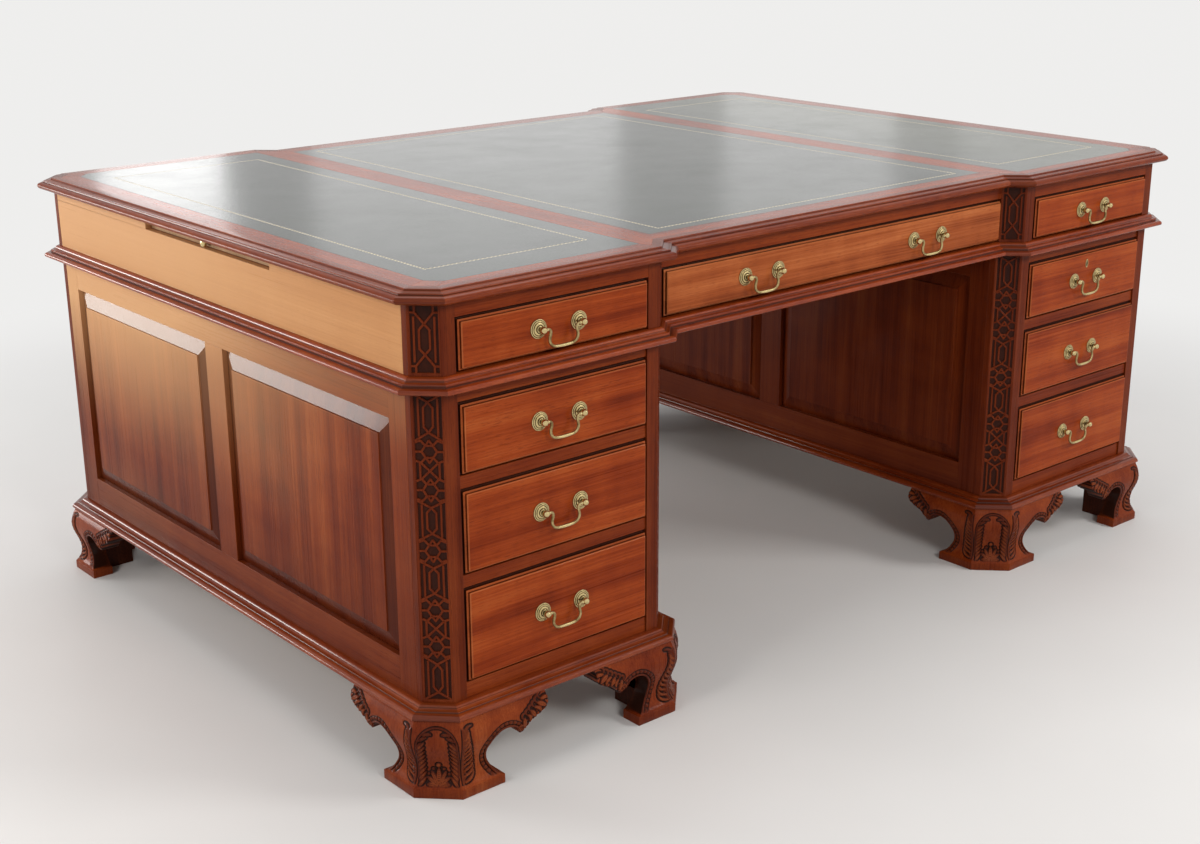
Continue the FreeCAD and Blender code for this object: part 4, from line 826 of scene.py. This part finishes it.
def make_frets(materials):
    """Frets on the eight corners of the pedestals, and on the corners and breaks of the frieze."""
    tall = Shape()
    for middle in (-MIDDLE_X, MIDDLE_X):
        plan = PEDESTAL_PLAN + (middle, 0)
        for i in range(0, 8, 2):
            add_fret(tall, plan[i], plan[i + 1], PEDESTAL_Z, WAIST_Z - PEDESTAL_Z, TALL_FRET)
    tall.piece("pedestal_frets", "desk", materials)
    short = Shape()
    for i in range(0, 16, 2):
        add_fret(short, FRIEZE_PLAN[i], FRIEZE_PLAN[i + 1], FRIEZE_Z, TOP_Z - FRIEZE_Z, ((SHORT_CELL, 1.0),))
    short.piece("frieze_frets", "desk", materials)


# Handles: radius, reach and shade of the turnings, and the bail's line across and down
ROSETTE = np.array([(15.0, 0.0, 0.2), (15.0, 1.0, 0.6), (14.5, 1.6, 0.95), (13.5, 1.7, 0.7), (13.1, 1.5, 0.1),
                    (12.8, 1.9, 0.3), (12.1, 2.6, 0.95), (11.0, 2.8, 0.8), (10.4, 2.5, 0.1), (10.0, 2.8, 0.3),
                    (9.0, 3.5, 0.9), (7.4, 4.0, 0.9), (6.6, 4.1, 0.5), (6.2, 3.8, 0.0), (5.8, 4.3, 0.2),
                    (5.0, 5.0, 0.8), (3.6, 5.3, 0.3), (3.0, 5.7, 0.0), (2.9, 6.3, 0.1), (3.6, 6.7, 0.5),
                    (3.7, 7.1, 0.5), (4.4, 8.0, 0.5), (5.2, 9.6, 0.7), (5.6, 11.4, 0.8), (5.5, 13.0, 0.9),
                    (5.0, 14.8, 1.0), (4.1, 16.2, 1.0), (2.9, 17.2, 1.0), (1.4, 17.7, 1.0), (0.2, 17.8, 1.0)])
BAIL_HALF = ((41.0, 0.0), (37.0, 0.0), (33.0, 0.0), (30.0, 0.1), (27.2, -0.6), (25.3, -2.6), (24.6, -5.4),
             (25.2, -9.0), (26.4, -13.0), (26.8, -17.0), (25.6, -21.4), (22.4, -25.2), (17.6, -27.4),
             (12.0, -28.1), (6.0, -28.4), (0.0, -28.5))
KNOB = np.array([(6.4, 0.0, 0.2), (6.4, 0.9, 0.5), (5.8, 1.5, 0.6), (4.0, 2.0, 0.3), (3.2, 3.4, 0.1),
                 (3.1, 4.8, 0.1), (3.8, 6.2, 0.2), (5.4, 7.8, 0.4), (6.8, 9.6, 0.7), (7.5, 11.6, 0.9),
                 (7.3, 13.2, 1.0), (6.2, 14.7, 1.0), (4.2, 15.6, 1.0), (2.0, 15.95, 1.0), (0.2, 16.0, 1.0)])
# Distance of a post from its handle's middle, of the bail from its seat, and of the keyhole above its handle
POST_X, BAIL_OUT, KEYHOLE_UP = 38.35, 12.0, 30.0
# Keyhole plate: half width and height, then share of them, lift and shade of each ring
KEYHOLE_HALF, KEYHOLE_SIDES = (4.0, 8.5), 40
KEYHOLE = np.array([(1.0, 0.0, 0.3), (1.0, 0.7, 0.8), (0.94, 1.0, 1.0), (0.84, 1.0, 0.9), (0.78, 0.7, 0.5),
                    (0.3, 0.6, 0.3)])


def bail_path():
    """The bail's line across and down, evenly spaced, and its thickness.

    The necks are slim, a collar stands by each ball as a bell curve, and the full grip tapers to both sides.
    """
    half = through(BAIL_HALF, 120)
    line = evened(np.vstack([half, (half * (-1, 1))[::-1][1:]]), 131)
    away = np.abs(line[:, 0])
    grip = np.clip((line[:, 1] + 24.0) / -4.5, 0, 1) * np.clip(1 - away / 17.0, 0, 1)
    collar = np.exp(-((away - 31.6) / 1.1) ** 2) * (line[:, 1] > -2)
    thick = np.where(away > 36.0, 1.75, 2.35 + 0.60 * grip ** 0.7 + 0.80 * collar)
    return line, thick


def make_handles():
    """Rosettes with ball posts on each drawer, and the bail that swings in each pair of balls."""
    line, thick = bail_path()
    for drawer, (spots, seat, z, side) in DRAWERS.items():
        fittings = Shape()
        for x in spots:
            for post in (-POST_X, POST_X):
                fittings.round(ROSETTE, (x + post, seat, z), (0, side, 0))
            bail = drawer.replace("drawer", "bail")
            if len(spots) > 1:
                bail += "_left" if x < 0 else "_right"
            depth = np.full(len(line), seat + side * BAIL_OUT)
            path = np.column_stack([x + line[:, 0], depth, z + line[:, 1]])
            swing = Shape()
            swing.wire(path, thick, (0, 1, 0), 0.45 + 0.5 * np.clip((thick - 2.2) / 0.6, 0, 1))
            swing.piece("brass_" + bail, bail, [brass], [bail], smooth=60)
        if drawer == "right_top_drawer":
            add_keyhole(fittings, (spots[0], seat, z + KEYHOLE_UP))
        fittings.piece("brass_" + drawer.replace("drawer", "rosettes"), drawer, [brass],
                       [drawer.replace("drawer", "drawer_rosettes")], smooth=50)


def add_keyhole(shape, spot):
    """A keyhole plate on a front: an oval dish with a raised rim; each ring is a share of the oval."""
    across, up = np.hstack(circle(KEYHOLE_SIDES)).T * np.array(KEYHOLE_HALF)[:, None]
    share, lift, shade = KEYHOLE.T[:, :, None]
    depth = np.broadcast_to(-lift, (len(lift), KEYHOLE_SIDES))
    rings = np.stack([across * share, depth, up * share], -1) + spot
    shape.tube(rings, shade=np.repeat(shade, KEYHOLE_SIDES))


def make_knobs():
    """Turned knobs of the slides."""
    for side, sign in (("left", -1), ("right", 1)):
        pull = Shape()
        pull.round(KNOB, (sign * (END_X - SLIDE_SETBACK), 0, (SLIDE_Z + TOP_Z) / 2), (sign, 0, 0))
        pull.piece("brass_%s_slide_knob" % side, side + "_slide", [brass], [side + "_slide_knob"],
                   smooth=50)


# Bracket feet: the surface's height from the pedestal's face by level, and the wing's outline from the corner
OGEE = ((31.0, 15.6), (27.6, 18.6), (23.4, 25.0), (20.6, 33.0), (19.6, 42.0), (20.6, 52.0), (23.6, 63.0),
        (27.8, 74.0), (31.2, 84.0), (32.9, 94.0), (32.6, 103.0), (30.4, 112.0), (27.2, 119.0), (24.6, 124.0),
        (24.2, 127.5))
WING_ANKLE = ((63.0, 15.6), (55.0, 23.0), (48.0, 33.2), (43.0, 44.0), (41.0, 56.0), (42.0, 66.0),
              (45.6, 75.0), (51.0, 82.4), (58.4, 87.9), (67.0, 90.8), (76.0, 90.8), (84.6, 88.2),
              (91.6, 83.6), (96.0, 78.4))
WING_TIP = ((96.0, 78.4), (98.6, 73.6), (103.0, 71.0), (107.6, 72.6), (110.0, 77.0), (113.6, 80.4),
            (117.2, 85.6), (121.0, 89.4), (127.0, 91.0), (132.6, 94.8), (138.4, 95.4), (143.0, 99.6),
            (148.8, 101.4), (152.6, 106.6), (155.0, 113.0), (154.6, 120.0), (152.7, 127.5))
# Points of the wing's grid up the corner, along the ankle and in all, and of the cant's grid
CORNER_ROWS, ANKLE_ROWS, FOOT_ROWS, FOOT_COLUMNS, CANT_ROWS, CANT_COLUMNS = 92, 120, 190, 60, 110, 74
# Depth of the carving's ground, height painted lightest, painted shades of plain wood and of backs, samples of
# a stem
GROUND_DEPTH, CREST, PLAIN_SHADE, BACK_SHADE, STEM_SAMPLES = 1.1, 2.8, 0.62, 0.3, 9
# Plane of the backs, reaches of the plinth and of the glue block, spacing of the beads, and eye of the scroll
FOOT_BACK, PLINTH_REACH, BLOCK_REACH, BEAD_PITCH, SCROLL_EYE = -8.0, 66.6, 60.0, 6.6, (101.5, 80.0)


def lobe(u, v, stem, wide, high):
    """Height and ground of a carved leaflet along a bent stem: a half round of tapering width with a vein.

    The stem is a quadratic from its root to its tip; the nearest of its samples gives each point's distance.
    """
    t = np.linspace(0, 1, STEM_SAMPLES)[:, None]
    root, knee, tip = (np.array(p, float) for p in stem)
    gap, near = nearest(u, v, (1 - t) ** 2 * root + 2 * t * (1 - t) * knee + t ** 2 * tip)
    taper = wide * np.sqrt(np.clip(np.sin(math.pi * (0.12 + 0.80 * t[near, 0])), 0, 1))
    body = np.sqrt(np.clip(1 - (gap / taper) ** 2, 0, 1))
    vein = 1 - 0.4 * np.exp(-(gap / (0.22 * wide)) ** 2)
    return np.stack([high * body * vein, ramped(gap - taper, 2.6, 1.2)])


def nearest(u, v, line):
    """Distance of each point to the nearest of a line's samples, and that sample's number."""
    gap = np.hypot(u[..., None] - line[:, 0], v[..., None] - line[:, 1])
    near = gap.argmin(-1)
    return np.take_along_axis(gap, near[..., None], -1)[..., 0], near


def over(*heights):
    """The highest of several carved heights at each point."""
    return np.maximum.reduce(heights)


def ramped(value, low, high):
    """0 below low, 1 above high, straight between; low may be the larger."""
    return np.clip((value - low) / (high - low), 0, 1)


def bulge(gap, half, high):
    """A half round of the given half width and height over a distance."""
    return high * np.sqrt(np.clip(1 - (gap / half) ** 2, 0, 1))


def ball(u, v, spot, radius, high):
    """Height and ground of a carved berry: a half round over the distance from its middle."""
    gap = np.hypot(u - spot[0], v - spot[1])
    return np.stack([bulge(gap, radius, high), ramped(gap - radius, 2.2, 1.0)])


def wing_carving(u, v):
    """Carving of a wing: a roll and a string of beads along the arch, leaves up the corner and on the end.

    Gives the carved height and how far each place belongs to the sunk ground of the carving: the highest of a
    half round and a beaded one along the ankle, leaflets, berries and a coil whose height is a cosine of
    radius and turn.
    """
    ankle = evened(through(WING_ANKLE, 200), 160)
    tip = evened(through(WING_TIP, 200), 120)
    gap, near = nearest(u, v, ankle)
    string = bulge(gap - 8.0, 2.9, 2.4) * np.abs(np.cos(math.pi * run_along(ankle)[near] / BEAD_PITCH)) ** 0.7
    carving = [np.stack([over(bulge(gap - 2.3, 2.0, 2.2), string), ramped(gap, 12.5, 11.0)])]
    for i, base in enumerate(np.linspace(23, 99, 10)):
        reach = 11.5 + 5.0 * math.cos(math.pi * i / 10.0)
        frond = ((3.4, base), (5.0 + reach * 0.8, base), (3.6 + reach, base + 12.5))
        carving += [lobe(u, v, frond, 2.8, 3.1),
                    lobe(u, v, ((3.2, base + 4.0), (8.0, base + 5.0), (8.4, base + 12.0)), 1.9, 2.4)]
    carving.append(lobe(u, v, ((4.0, 106.0), (6.0, 118.0), (16.0, 117.0)), 2.6, 2.2))
    stalk = ramped(v, 19, 22) * ramped(v, 118, 114)
    carving.append(np.stack([bulge(u - 3.2, 2.0, 2.0) * stalk, ramped(u, 6.0, 5.0) * stalk]))
    for i in range(6):
        share = i / 5.0
        at = tip[int(24 + share * 80)]
        root = np.array((106.0 + 36.0 * share, 95.0 + 22.0 * share))
        bend = 5.0 if i % 2 else -1.5
        frond = (root, (root + at) / 2 + (bend, 2.6), at + (root - at) * 0.16)
        carving += [lobe(u, v, frond, 4.4 - i % 2, 3.3),
                    lobe(u, v, (root + (-3, 2), root + (-8.0, 8.0), root + (1.0, 10.0)), 2.4, 2.4),
                    ball(u, v, (root + at) / 2 + (-3.6, -0.6), 1.9, 2.4)]
    swirl = np.hypot(u - SCROLL_EYE[0], v - SCROLL_EYE[1])
    turn = np.arctan2(v - SCROLL_EYE[1], u - SCROLL_EYE[0])
    coil = 3.0 * (0.5 + 0.5 * np.cos(2 * math.pi * (swirl / 5.0 - turn / (2 * math.pi))))
    carving.append(np.stack([coil * ramped(swirl, 8.6, 7.8), ramped(swirl, 10.0, 9.0)]))
    return over(*carving)


def cant_carving(u, v):
    """Carving of the cant: garlands up both sides of an arched plain panel, and a palmette at its foot."""
    a = np.abs(u)
    arch = np.hypot(a, np.maximum(v - 86.0, 0))
    rib = np.stack([bulge(arch - 31.5, 1.7, 1.9), ramped(np.abs(arch - 31.5), 3.2, 2.2)])
    carving = [rib * ramped(v, 26, 34)]
    for base in np.linspace(20, 84, 9):
        carving += [lobe(a, v, ((29.0, base), (25.5, base + 3.0), (19.5, base + 10.5)), 3.0, 3.0),
                    lobe(a, v, ((29.0, base + 4.0), (27.5, base + 8.0), (24.0, base + 11.0)), 1.9, 2.4)]
    for turn in np.radians((24.0, 46.0)):
        way, across = np.array((math.cos(turn), math.sin(turn))), np.array((-math.sin(turn), math.cos(turn)))
        root = np.array((0.0, 86.0)) + way * 28.5
        frond = (root, root - way * 3.0 + across * 7.0, root - way * 7.0 + across * 9.0)
        carving.append(lobe(a, v, frond, 2.8, 2.6))
    for i in range(4):
        angle = math.radians(90 - 30 * i)
        end = np.array((0.0, 21.0)) + np.array((math.cos(angle), math.sin(angle))) * (24.0 - 2.6 * i)
        carving.append(lobe(a, v, ((0.4, 19.0), end * 0.5 + (1.5, 12.0), end), 3.8, 3.0))
    for spot, radius, high in (((0.0, 51.5), 4.4, 3.2), ((8.2, 44.5), 2.9, 2.4), ((15.5, 36.0), 2.6, 2.2)):
        carving.append(ball(a, v, spot, radius, high))
    return over(*carving)


def settle(carving, v):
    """Carved heights on a ground sunk a little, fading into the plinth and the top, with their shade."""
    height, ground = carving
    fade = ramped(v, 16.5, 20.0) * ramped(v, 127.0, 123.0)
    carved = PLAIN_SHADE * (1 - ground) + ground * np.clip(height / CREST, 0, 1) ** 0.8
    shade = np.where(ground > 0.02, carved, PLAIN_SHADE)
    return (height - GROUND_DEPTH * ground) * fade, shade * fade + PLAIN_SHADE * (1 - fade), ground * fade


def ogee_at(level):
    """How far the foot's surface stands out at a level."""
    line = through(OGEE, 240)
    return np.interp(level, line[:, 1], line[:, 0])


def foot_sheets():
    """Front surfaces of a foot as grids of along, out and up: a wing and the cant between its two mitres.

    The wing is ruled by lines from corner and top to its outline. Both stand out by ogee and carving.
    """
    tip_rows, top_rows = FOOT_ROWS - ANKLE_ROWS + 1, FOOT_ROWS - CORNER_ROWS + 1
    outline = np.vstack([evened(through(WING_ANKLE, 300), ANKLE_ROWS),
                         evened(through(WING_TIP, 300), tip_rows)[1:]])
    rise = np.linspace(PLINTH_TOP, FOOT_TOP, CORNER_ROWS)
    top = np.linspace(0, WING_TIP[-1][0], top_rows)[1:]
    corner = np.vstack([np.column_stack([np.zeros(CORNER_ROWS), rise]),
                        np.column_stack([top, np.full(len(top), FOOT_TOP)])])
    s = np.linspace(0, 1, FOOT_COLUMNS)[None, :, None]
    flat = corner[:, None] * (1 - s) + outline[:, None] * s
    u, v = flat[..., 0], flat[..., 1]
    height, *wing_marks = settle(wing_carving(u, v), v)
    out = ogee_at(v) + height
    wing = np.stack([u - out * MITRE * np.clip(1 - u / 45.0, 0, 1), out, v], -1)

    half_cant = CANT * DIAGONAL
    v = np.broadcast_to(np.linspace(PLINTH_TOP, FOOT_TOP, CANT_ROWS)[:, None], (CANT_ROWS, CANT_COLUMNS))
    share = np.linspace(-1, 1, CANT_COLUMNS)[None, :]
    base = ogee_at(v)
    height, *cant_marks = settle(cant_carving(share * (half_cant + base * MITRE), v), v)
    rim = settle(wing_carving(np.zeros(CANT_ROWS), v[:, 0]), v[:, 0])[0][:, None]
    blend = np.clip((np.abs(share) - 0.86) / 0.14, 0, 1)
    out = base + height * (1 - blend) + rim * blend
    cant = np.stack([share * (half_cant + out * MITRE), out, v], -1)
    return (wing, *wing_marks), (cant, *cant_marks)


def closed_sheet(front, shade, carved, place):
    """A solid between a front grid and a flat back: the rim's points are dropped to the back and capped.

    Gives its points, faces and cap, and for each point the shade and how far it is carved.
    """
    rows, columns = front.shape[:2]
    index = np.arange(rows * columns).reshape(rows, columns)
    rim = np.concatenate([index[0], index[1:, -1], index[-1, -2::-1], index[-2:0:-1, 0]])
    points = front.reshape(-1, 3)
    behind = points[rim].copy()
    behind[:, 1] = FOOT_BACK
    behind[:, 0] = place(behind, points[rim])
    count = len(points)
    ring = count + np.arange(len(rim))
    walls = np.stack([rim, np.roll(rim, -1), np.roll(ring, -1), ring], 1)
    return (np.vstack([points, behind]), np.vstack([grid_faces(rows, columns), walls]), [ring],
            np.append(shade, np.full(len(rim), BACK_SHADE)), np.append(carved, np.zeros(len(rim))))


def make_feet(material):
    """Eight feet, each of two carved wings, a carved cant, a plinth and the glue block behind them."""
    half = CANT * DIAGONAL

    def on_mitre(behind, front):
        """Places along the back of a wing: on the mitre at the corner, and else as in front."""
        return np.where(front[:, 0] < 0.5, -behind[:, 1] * MITRE, front[:, 0])

    def between_mitres(behind, front):
        """Places along the back of a cant: the same share of the way between the mitres as in front."""
        return front[:, 0] / (half + front[:, 1] * MITRE) * (half + behind[:, 1] * MITRE)

    wing, cant = foot_sheets()
    wing_solid, cant_solid = closed_sheet(*wing, on_mitre), closed_sheet(*cant, between_mitres)
    plinth = section((FOOT_BACK, 0), (31.4, 0), (32, 0.6), (32, 14.4), (30.8, PLINTH_TOP, 32, PLINTH_TOP),
                     (FOOT_BACK, PLINTH_TOP), steps=4)
    side, front = np.array((-OUTER_X, -FACE_Y + CANT)), np.array((-OUTER_X + CANT, -FACE_Y))
    slant = unit(front - side)
    frames = ((side, np.array((0, 1.0)), np.array((-1.0, 0)), wing_solid, 0.0),
              (front, np.array((1.0, 0)), np.array((0, -1.0)), wing_solid, 0.0),
              ((side + front) / 2, slant, np.array((slant[1], -slant[0])), cant_solid, 1.0))
    low = Shape()
    low.lengths([side + (0, PLINTH_REACH), side, front, front + (PLINTH_REACH, 0)], plinth, closed=False)
    ends = np.arange(len(plinth))
    a, b = side - (FOOT_BACK, FOOT_BACK * MITRE), front - (FOOT_BACK * MITRE, FOOT_BACK)
    inner = (a[0] + BLOCK_REACH, b[1] + BLOCK_REACH)
    plan = np.array([a, b, (inner[0], b[1]), inner, (a[0], inner[1])])
    block = np.vstack([np.column_stack([plan, np.full(len(plan), z)]) for z in (0.0, FOOT_TOP)])
    base = np.arange(len(plan))
    for number, (x, y, pedestal) in enumerate((x, y, p) for p in (-1, 1) for x in (-1, 1) for y in (-1, 1)):
        foot = Shape()

        def stood(plan):
            """Points of the outer front left corner moved to this foot's corner by mirroring."""
            moved = plan.copy()
            moved[:, 0] = pedestal * MIDDLE_X + (plan[:, 0] + MIDDLE_X) * -x
            moved[:, 1] = plan[:, 1] * -y
            return moved

        for origin, along, out, (points, quads, caps, shade, carved), corner in frames:
            plan = origin + points[:, :1] * along + points[:, 1:2] * out
            marks = np.column_stack([np.full(len(points), corner), carved]) / MM
            foot.add(stood(np.column_stack([plan, points[:, 2]])), quads, caps, 0, marks, shade)
        for points in low.points:
            foot.add(stood(points), grid_faces(2, len(ends), True), [ends, ends + len(ends)])
        foot.add(stood(block), grid_faces(2, len(base), True), [base, base + len(base)],
                 shade=np.full(len(block), BACK_SHADE))
        foot.piece("carved_foot_%d" % (number + 1), "desk", [material],
                   ["bracket_feet"] if number == 0 else (), smooth=50)


# Scene: floor, lights and camera

PALE, GREY, WARM, SUNNY = (0.86, 0.855, 0.845), (0.36, 0.36, 0.365), (1.0, 0.98, 0.95), (1.0, 0.97, 0.93)
# Floor: half its width, and where it starts and ends to fade into the backdrop, in metres
FLOOR_REACH, FADE = 40.0, (1.4, 2.7)
# Pairs of lamps: spot, target in metres, colour, width, then height and power of the broad one and the strip
PAIRS = {"side": ((-3.6, -0.6, 2.3), (-0.7, 0.0, 0.45), SUNNY, 1.2, (1.0, 32.0), (0.16, 7.0)),
         "front": ((-0.9, -3.8, 2.5), (0.1, -0.3, 0.45), WARM, 1.3, (0.9, 38.0), (0.16, 9.0)),
         "right": ((2.3, -3.2, 2.5), (-0.2, -0.5, 0.5), WARM, 1.3, (1.0, 30.0), (0.36, 32.0))}
LEFT_TARGET = (-0.9, 0.0, 0.5)
# Panes that the leather mirrors, on an arc round the camera: bearings of their edges in degrees, and glow
PANES = ((24.0, 28.0, 1.9), (30.8, 41.0, 0.5), (44.4, 50.0, 0.4), (52.0, 57.5, 0.2))
ARC_X, ARC_Y, ARC_RADIUS, PANE_Z, PANE_TALL = -2.22, -2.55, 7.0, 1.65, 1.5
# Camera: turn in radians, spot in millimetres, lens in pixels, and width of the photograph
CAMERA_TURN, CAMERA_SPOT = (0.703, -0.316, -0.006), (-2220.1, -2546.7, 1355.1)
LENS, PHOTO_WIDTH, SENSOR = 1727.9, 1200, 36.0


def set_up(thing, right, up, back, spot):
    """Stands a lamp or the camera at a spot, in metres, by the directions of its own three axes."""
    axes = np.stack([right, up, back], 1)
    thing.matrix_world = Matrix([[*row, s] for row, s in zip(axes, spot)] + [[0, 0, 0, 1]])


def aimed(name, spot, target, width, height, power, colour=(1, 1, 1), mirrored=True):
    """A soft rectangular lamp at a spot in metres that faces a target; gloss mirrors it or leaves it out."""
    lamp = bpy.data.lights.new(name, "AREA")
    lamp.shape, lamp.size, lamp.size_y, lamp.energy, lamp.color = "RECTANGLE", width, height, power, colour
    made = linked(name, lamp)
    spot, target = np.array(spot, float), np.array(target, float)
    back = unit(spot - target)
    right = unit(np.cross((0, 0, 1.0), back))
    set_up(made, right, np.cross(back, right), back, spot)
    made.visible_camera, made.visible_glossy = False, mirrored


def make_stage():
    """A pale floor that runs out into a pale backdrop, a grey sky and soft lamps."""
    net = new_net("pale_floor")
    vector, x, y, _ = net.place()
    patch = net.noise(vector, 1.5, 3.0)
    colour = net.ramp(patch, (0.3, (0.76, 0.755, 0.745)), (0.7, (0.80, 0.795, 0.785)))
    far = (x * x + y * y).root().rise(*FADE) * net.seen()
    shader = net.node("BsdfPrincipled", None, {"Base Color": colour, "Roughness": 0.6 + (patch - 0.5) * 0.1})
    glow = net.node("Emission", None, {"Color": (*PALE, 1), "Strength": 1.0})
    net.node("OutputMaterial", None, {"Surface": net.node("MixShader", None, {0: far, 1: shader, 2: glow})})
    mesh = bpy.data.meshes.new("floor")
    corners = [(x * FLOOR_REACH, y * FLOOR_REACH, 0) for x, y in ((-1, -1), (1, -1), (1, 1), (-1, 1))]
    mesh.from_pydata(corners, [], [(0, 1, 2, 3)])
    mesh.materials.append(net.owner)
    floor = linked("floor", mesh)
    world = Net(bpy.data.worlds.new("studio"))
    sky = world.node("Background", None, {"Color": (*GREY, 1)})
    backdrop = world.node("Background", None, {"Color": (*PALE, 1)})
    shown = world.node("MixShader", None, {0: world.seen(), 1: sky, 2: backdrop})
    world.node("OutputWorld", None, {"Surface": shown})
    bpy.context.scene.world = world.owner
    aimed("left_window", (-2.7, 2.95, 0.65), LEFT_TARGET, 1.3, 0.6, 38.0, WARM)
    aimed("left_fill", (-2.7, 2.95, 1.4), LEFT_TARGET, 1.3, 1.0, 21.0, WARM, False)
    for name, (spot, target, colour, width, broad, strip) in PAIRS.items():
        aimed(name + "_fill", spot, target, width, *broad, colour, False)
        aimed(name + "_strip", spot, target, width, *strip, colour)
    aimed("top_lamp", (0.3, 0.6, 3.4), (0.0, 0.0, 0.7), 2.6, 2.0, 34.0)
    for pane, (low, high, glow) in enumerate(PANES):
        turn, wide = math.radians((low + high) / 2), ARC_RADIUS * math.radians(high - low)
        spot = (ARC_X + ARC_RADIUS * math.sin(turn), ARC_Y + ARC_RADIUS * math.cos(turn), PANE_Z)
        power = glow * math.pi * wide * PANE_TALL
        aimed("rear_pane_%d" % (pane + 1), spot, (ARC_X, ARC_Y, 1.0), wide, PANE_TALL, power)


def make_camera():
    """A camera at the place, turn and lens found from the photograph's vanishing lines."""
    yaw, pitch, roll = CAMERA_TURN
    ahead = np.array((math.sin(yaw) * math.cos(pitch), math.cos(yaw) * math.cos(pitch), math.sin(pitch)))
    level = np.array((math.cos(yaw), -math.sin(yaw), 0.0))
    upward = np.cross(level, ahead)
    right = level * math.cos(roll) + upward * math.sin(roll)
    up = -level * math.sin(roll) + upward * math.cos(roll)
    lens = bpy.data.cameras.new("camera")
    lens.sensor_width, lens.sensor_fit, lens.lens = SENSOR, "HORIZONTAL", SENSOR * LENS / PHOTO_WIDTH
    made = linked("camera", lens)
    set_up(made, right, up, -ahead, np.array(CAMERA_SPOT) * MM)
    bpy.context.scene.camera = made


make_top()
make_mouldings()
carving = carved_wood("carved_mahogany")
make_frets([plain_wood("fret_mahogany", "z", DEEP, 12.7, 0.6), fret_ground("fret_ground")])
make_handles()
make_knobs()
make_feet(carving)
for name in ("left_door_fittings", "right_door_fittings", "door_hinges"):
    dress(name, fitting_brass)
make_stage()
make_camera()
bpy.context.scene.view_settings.view_transform = "Standard"
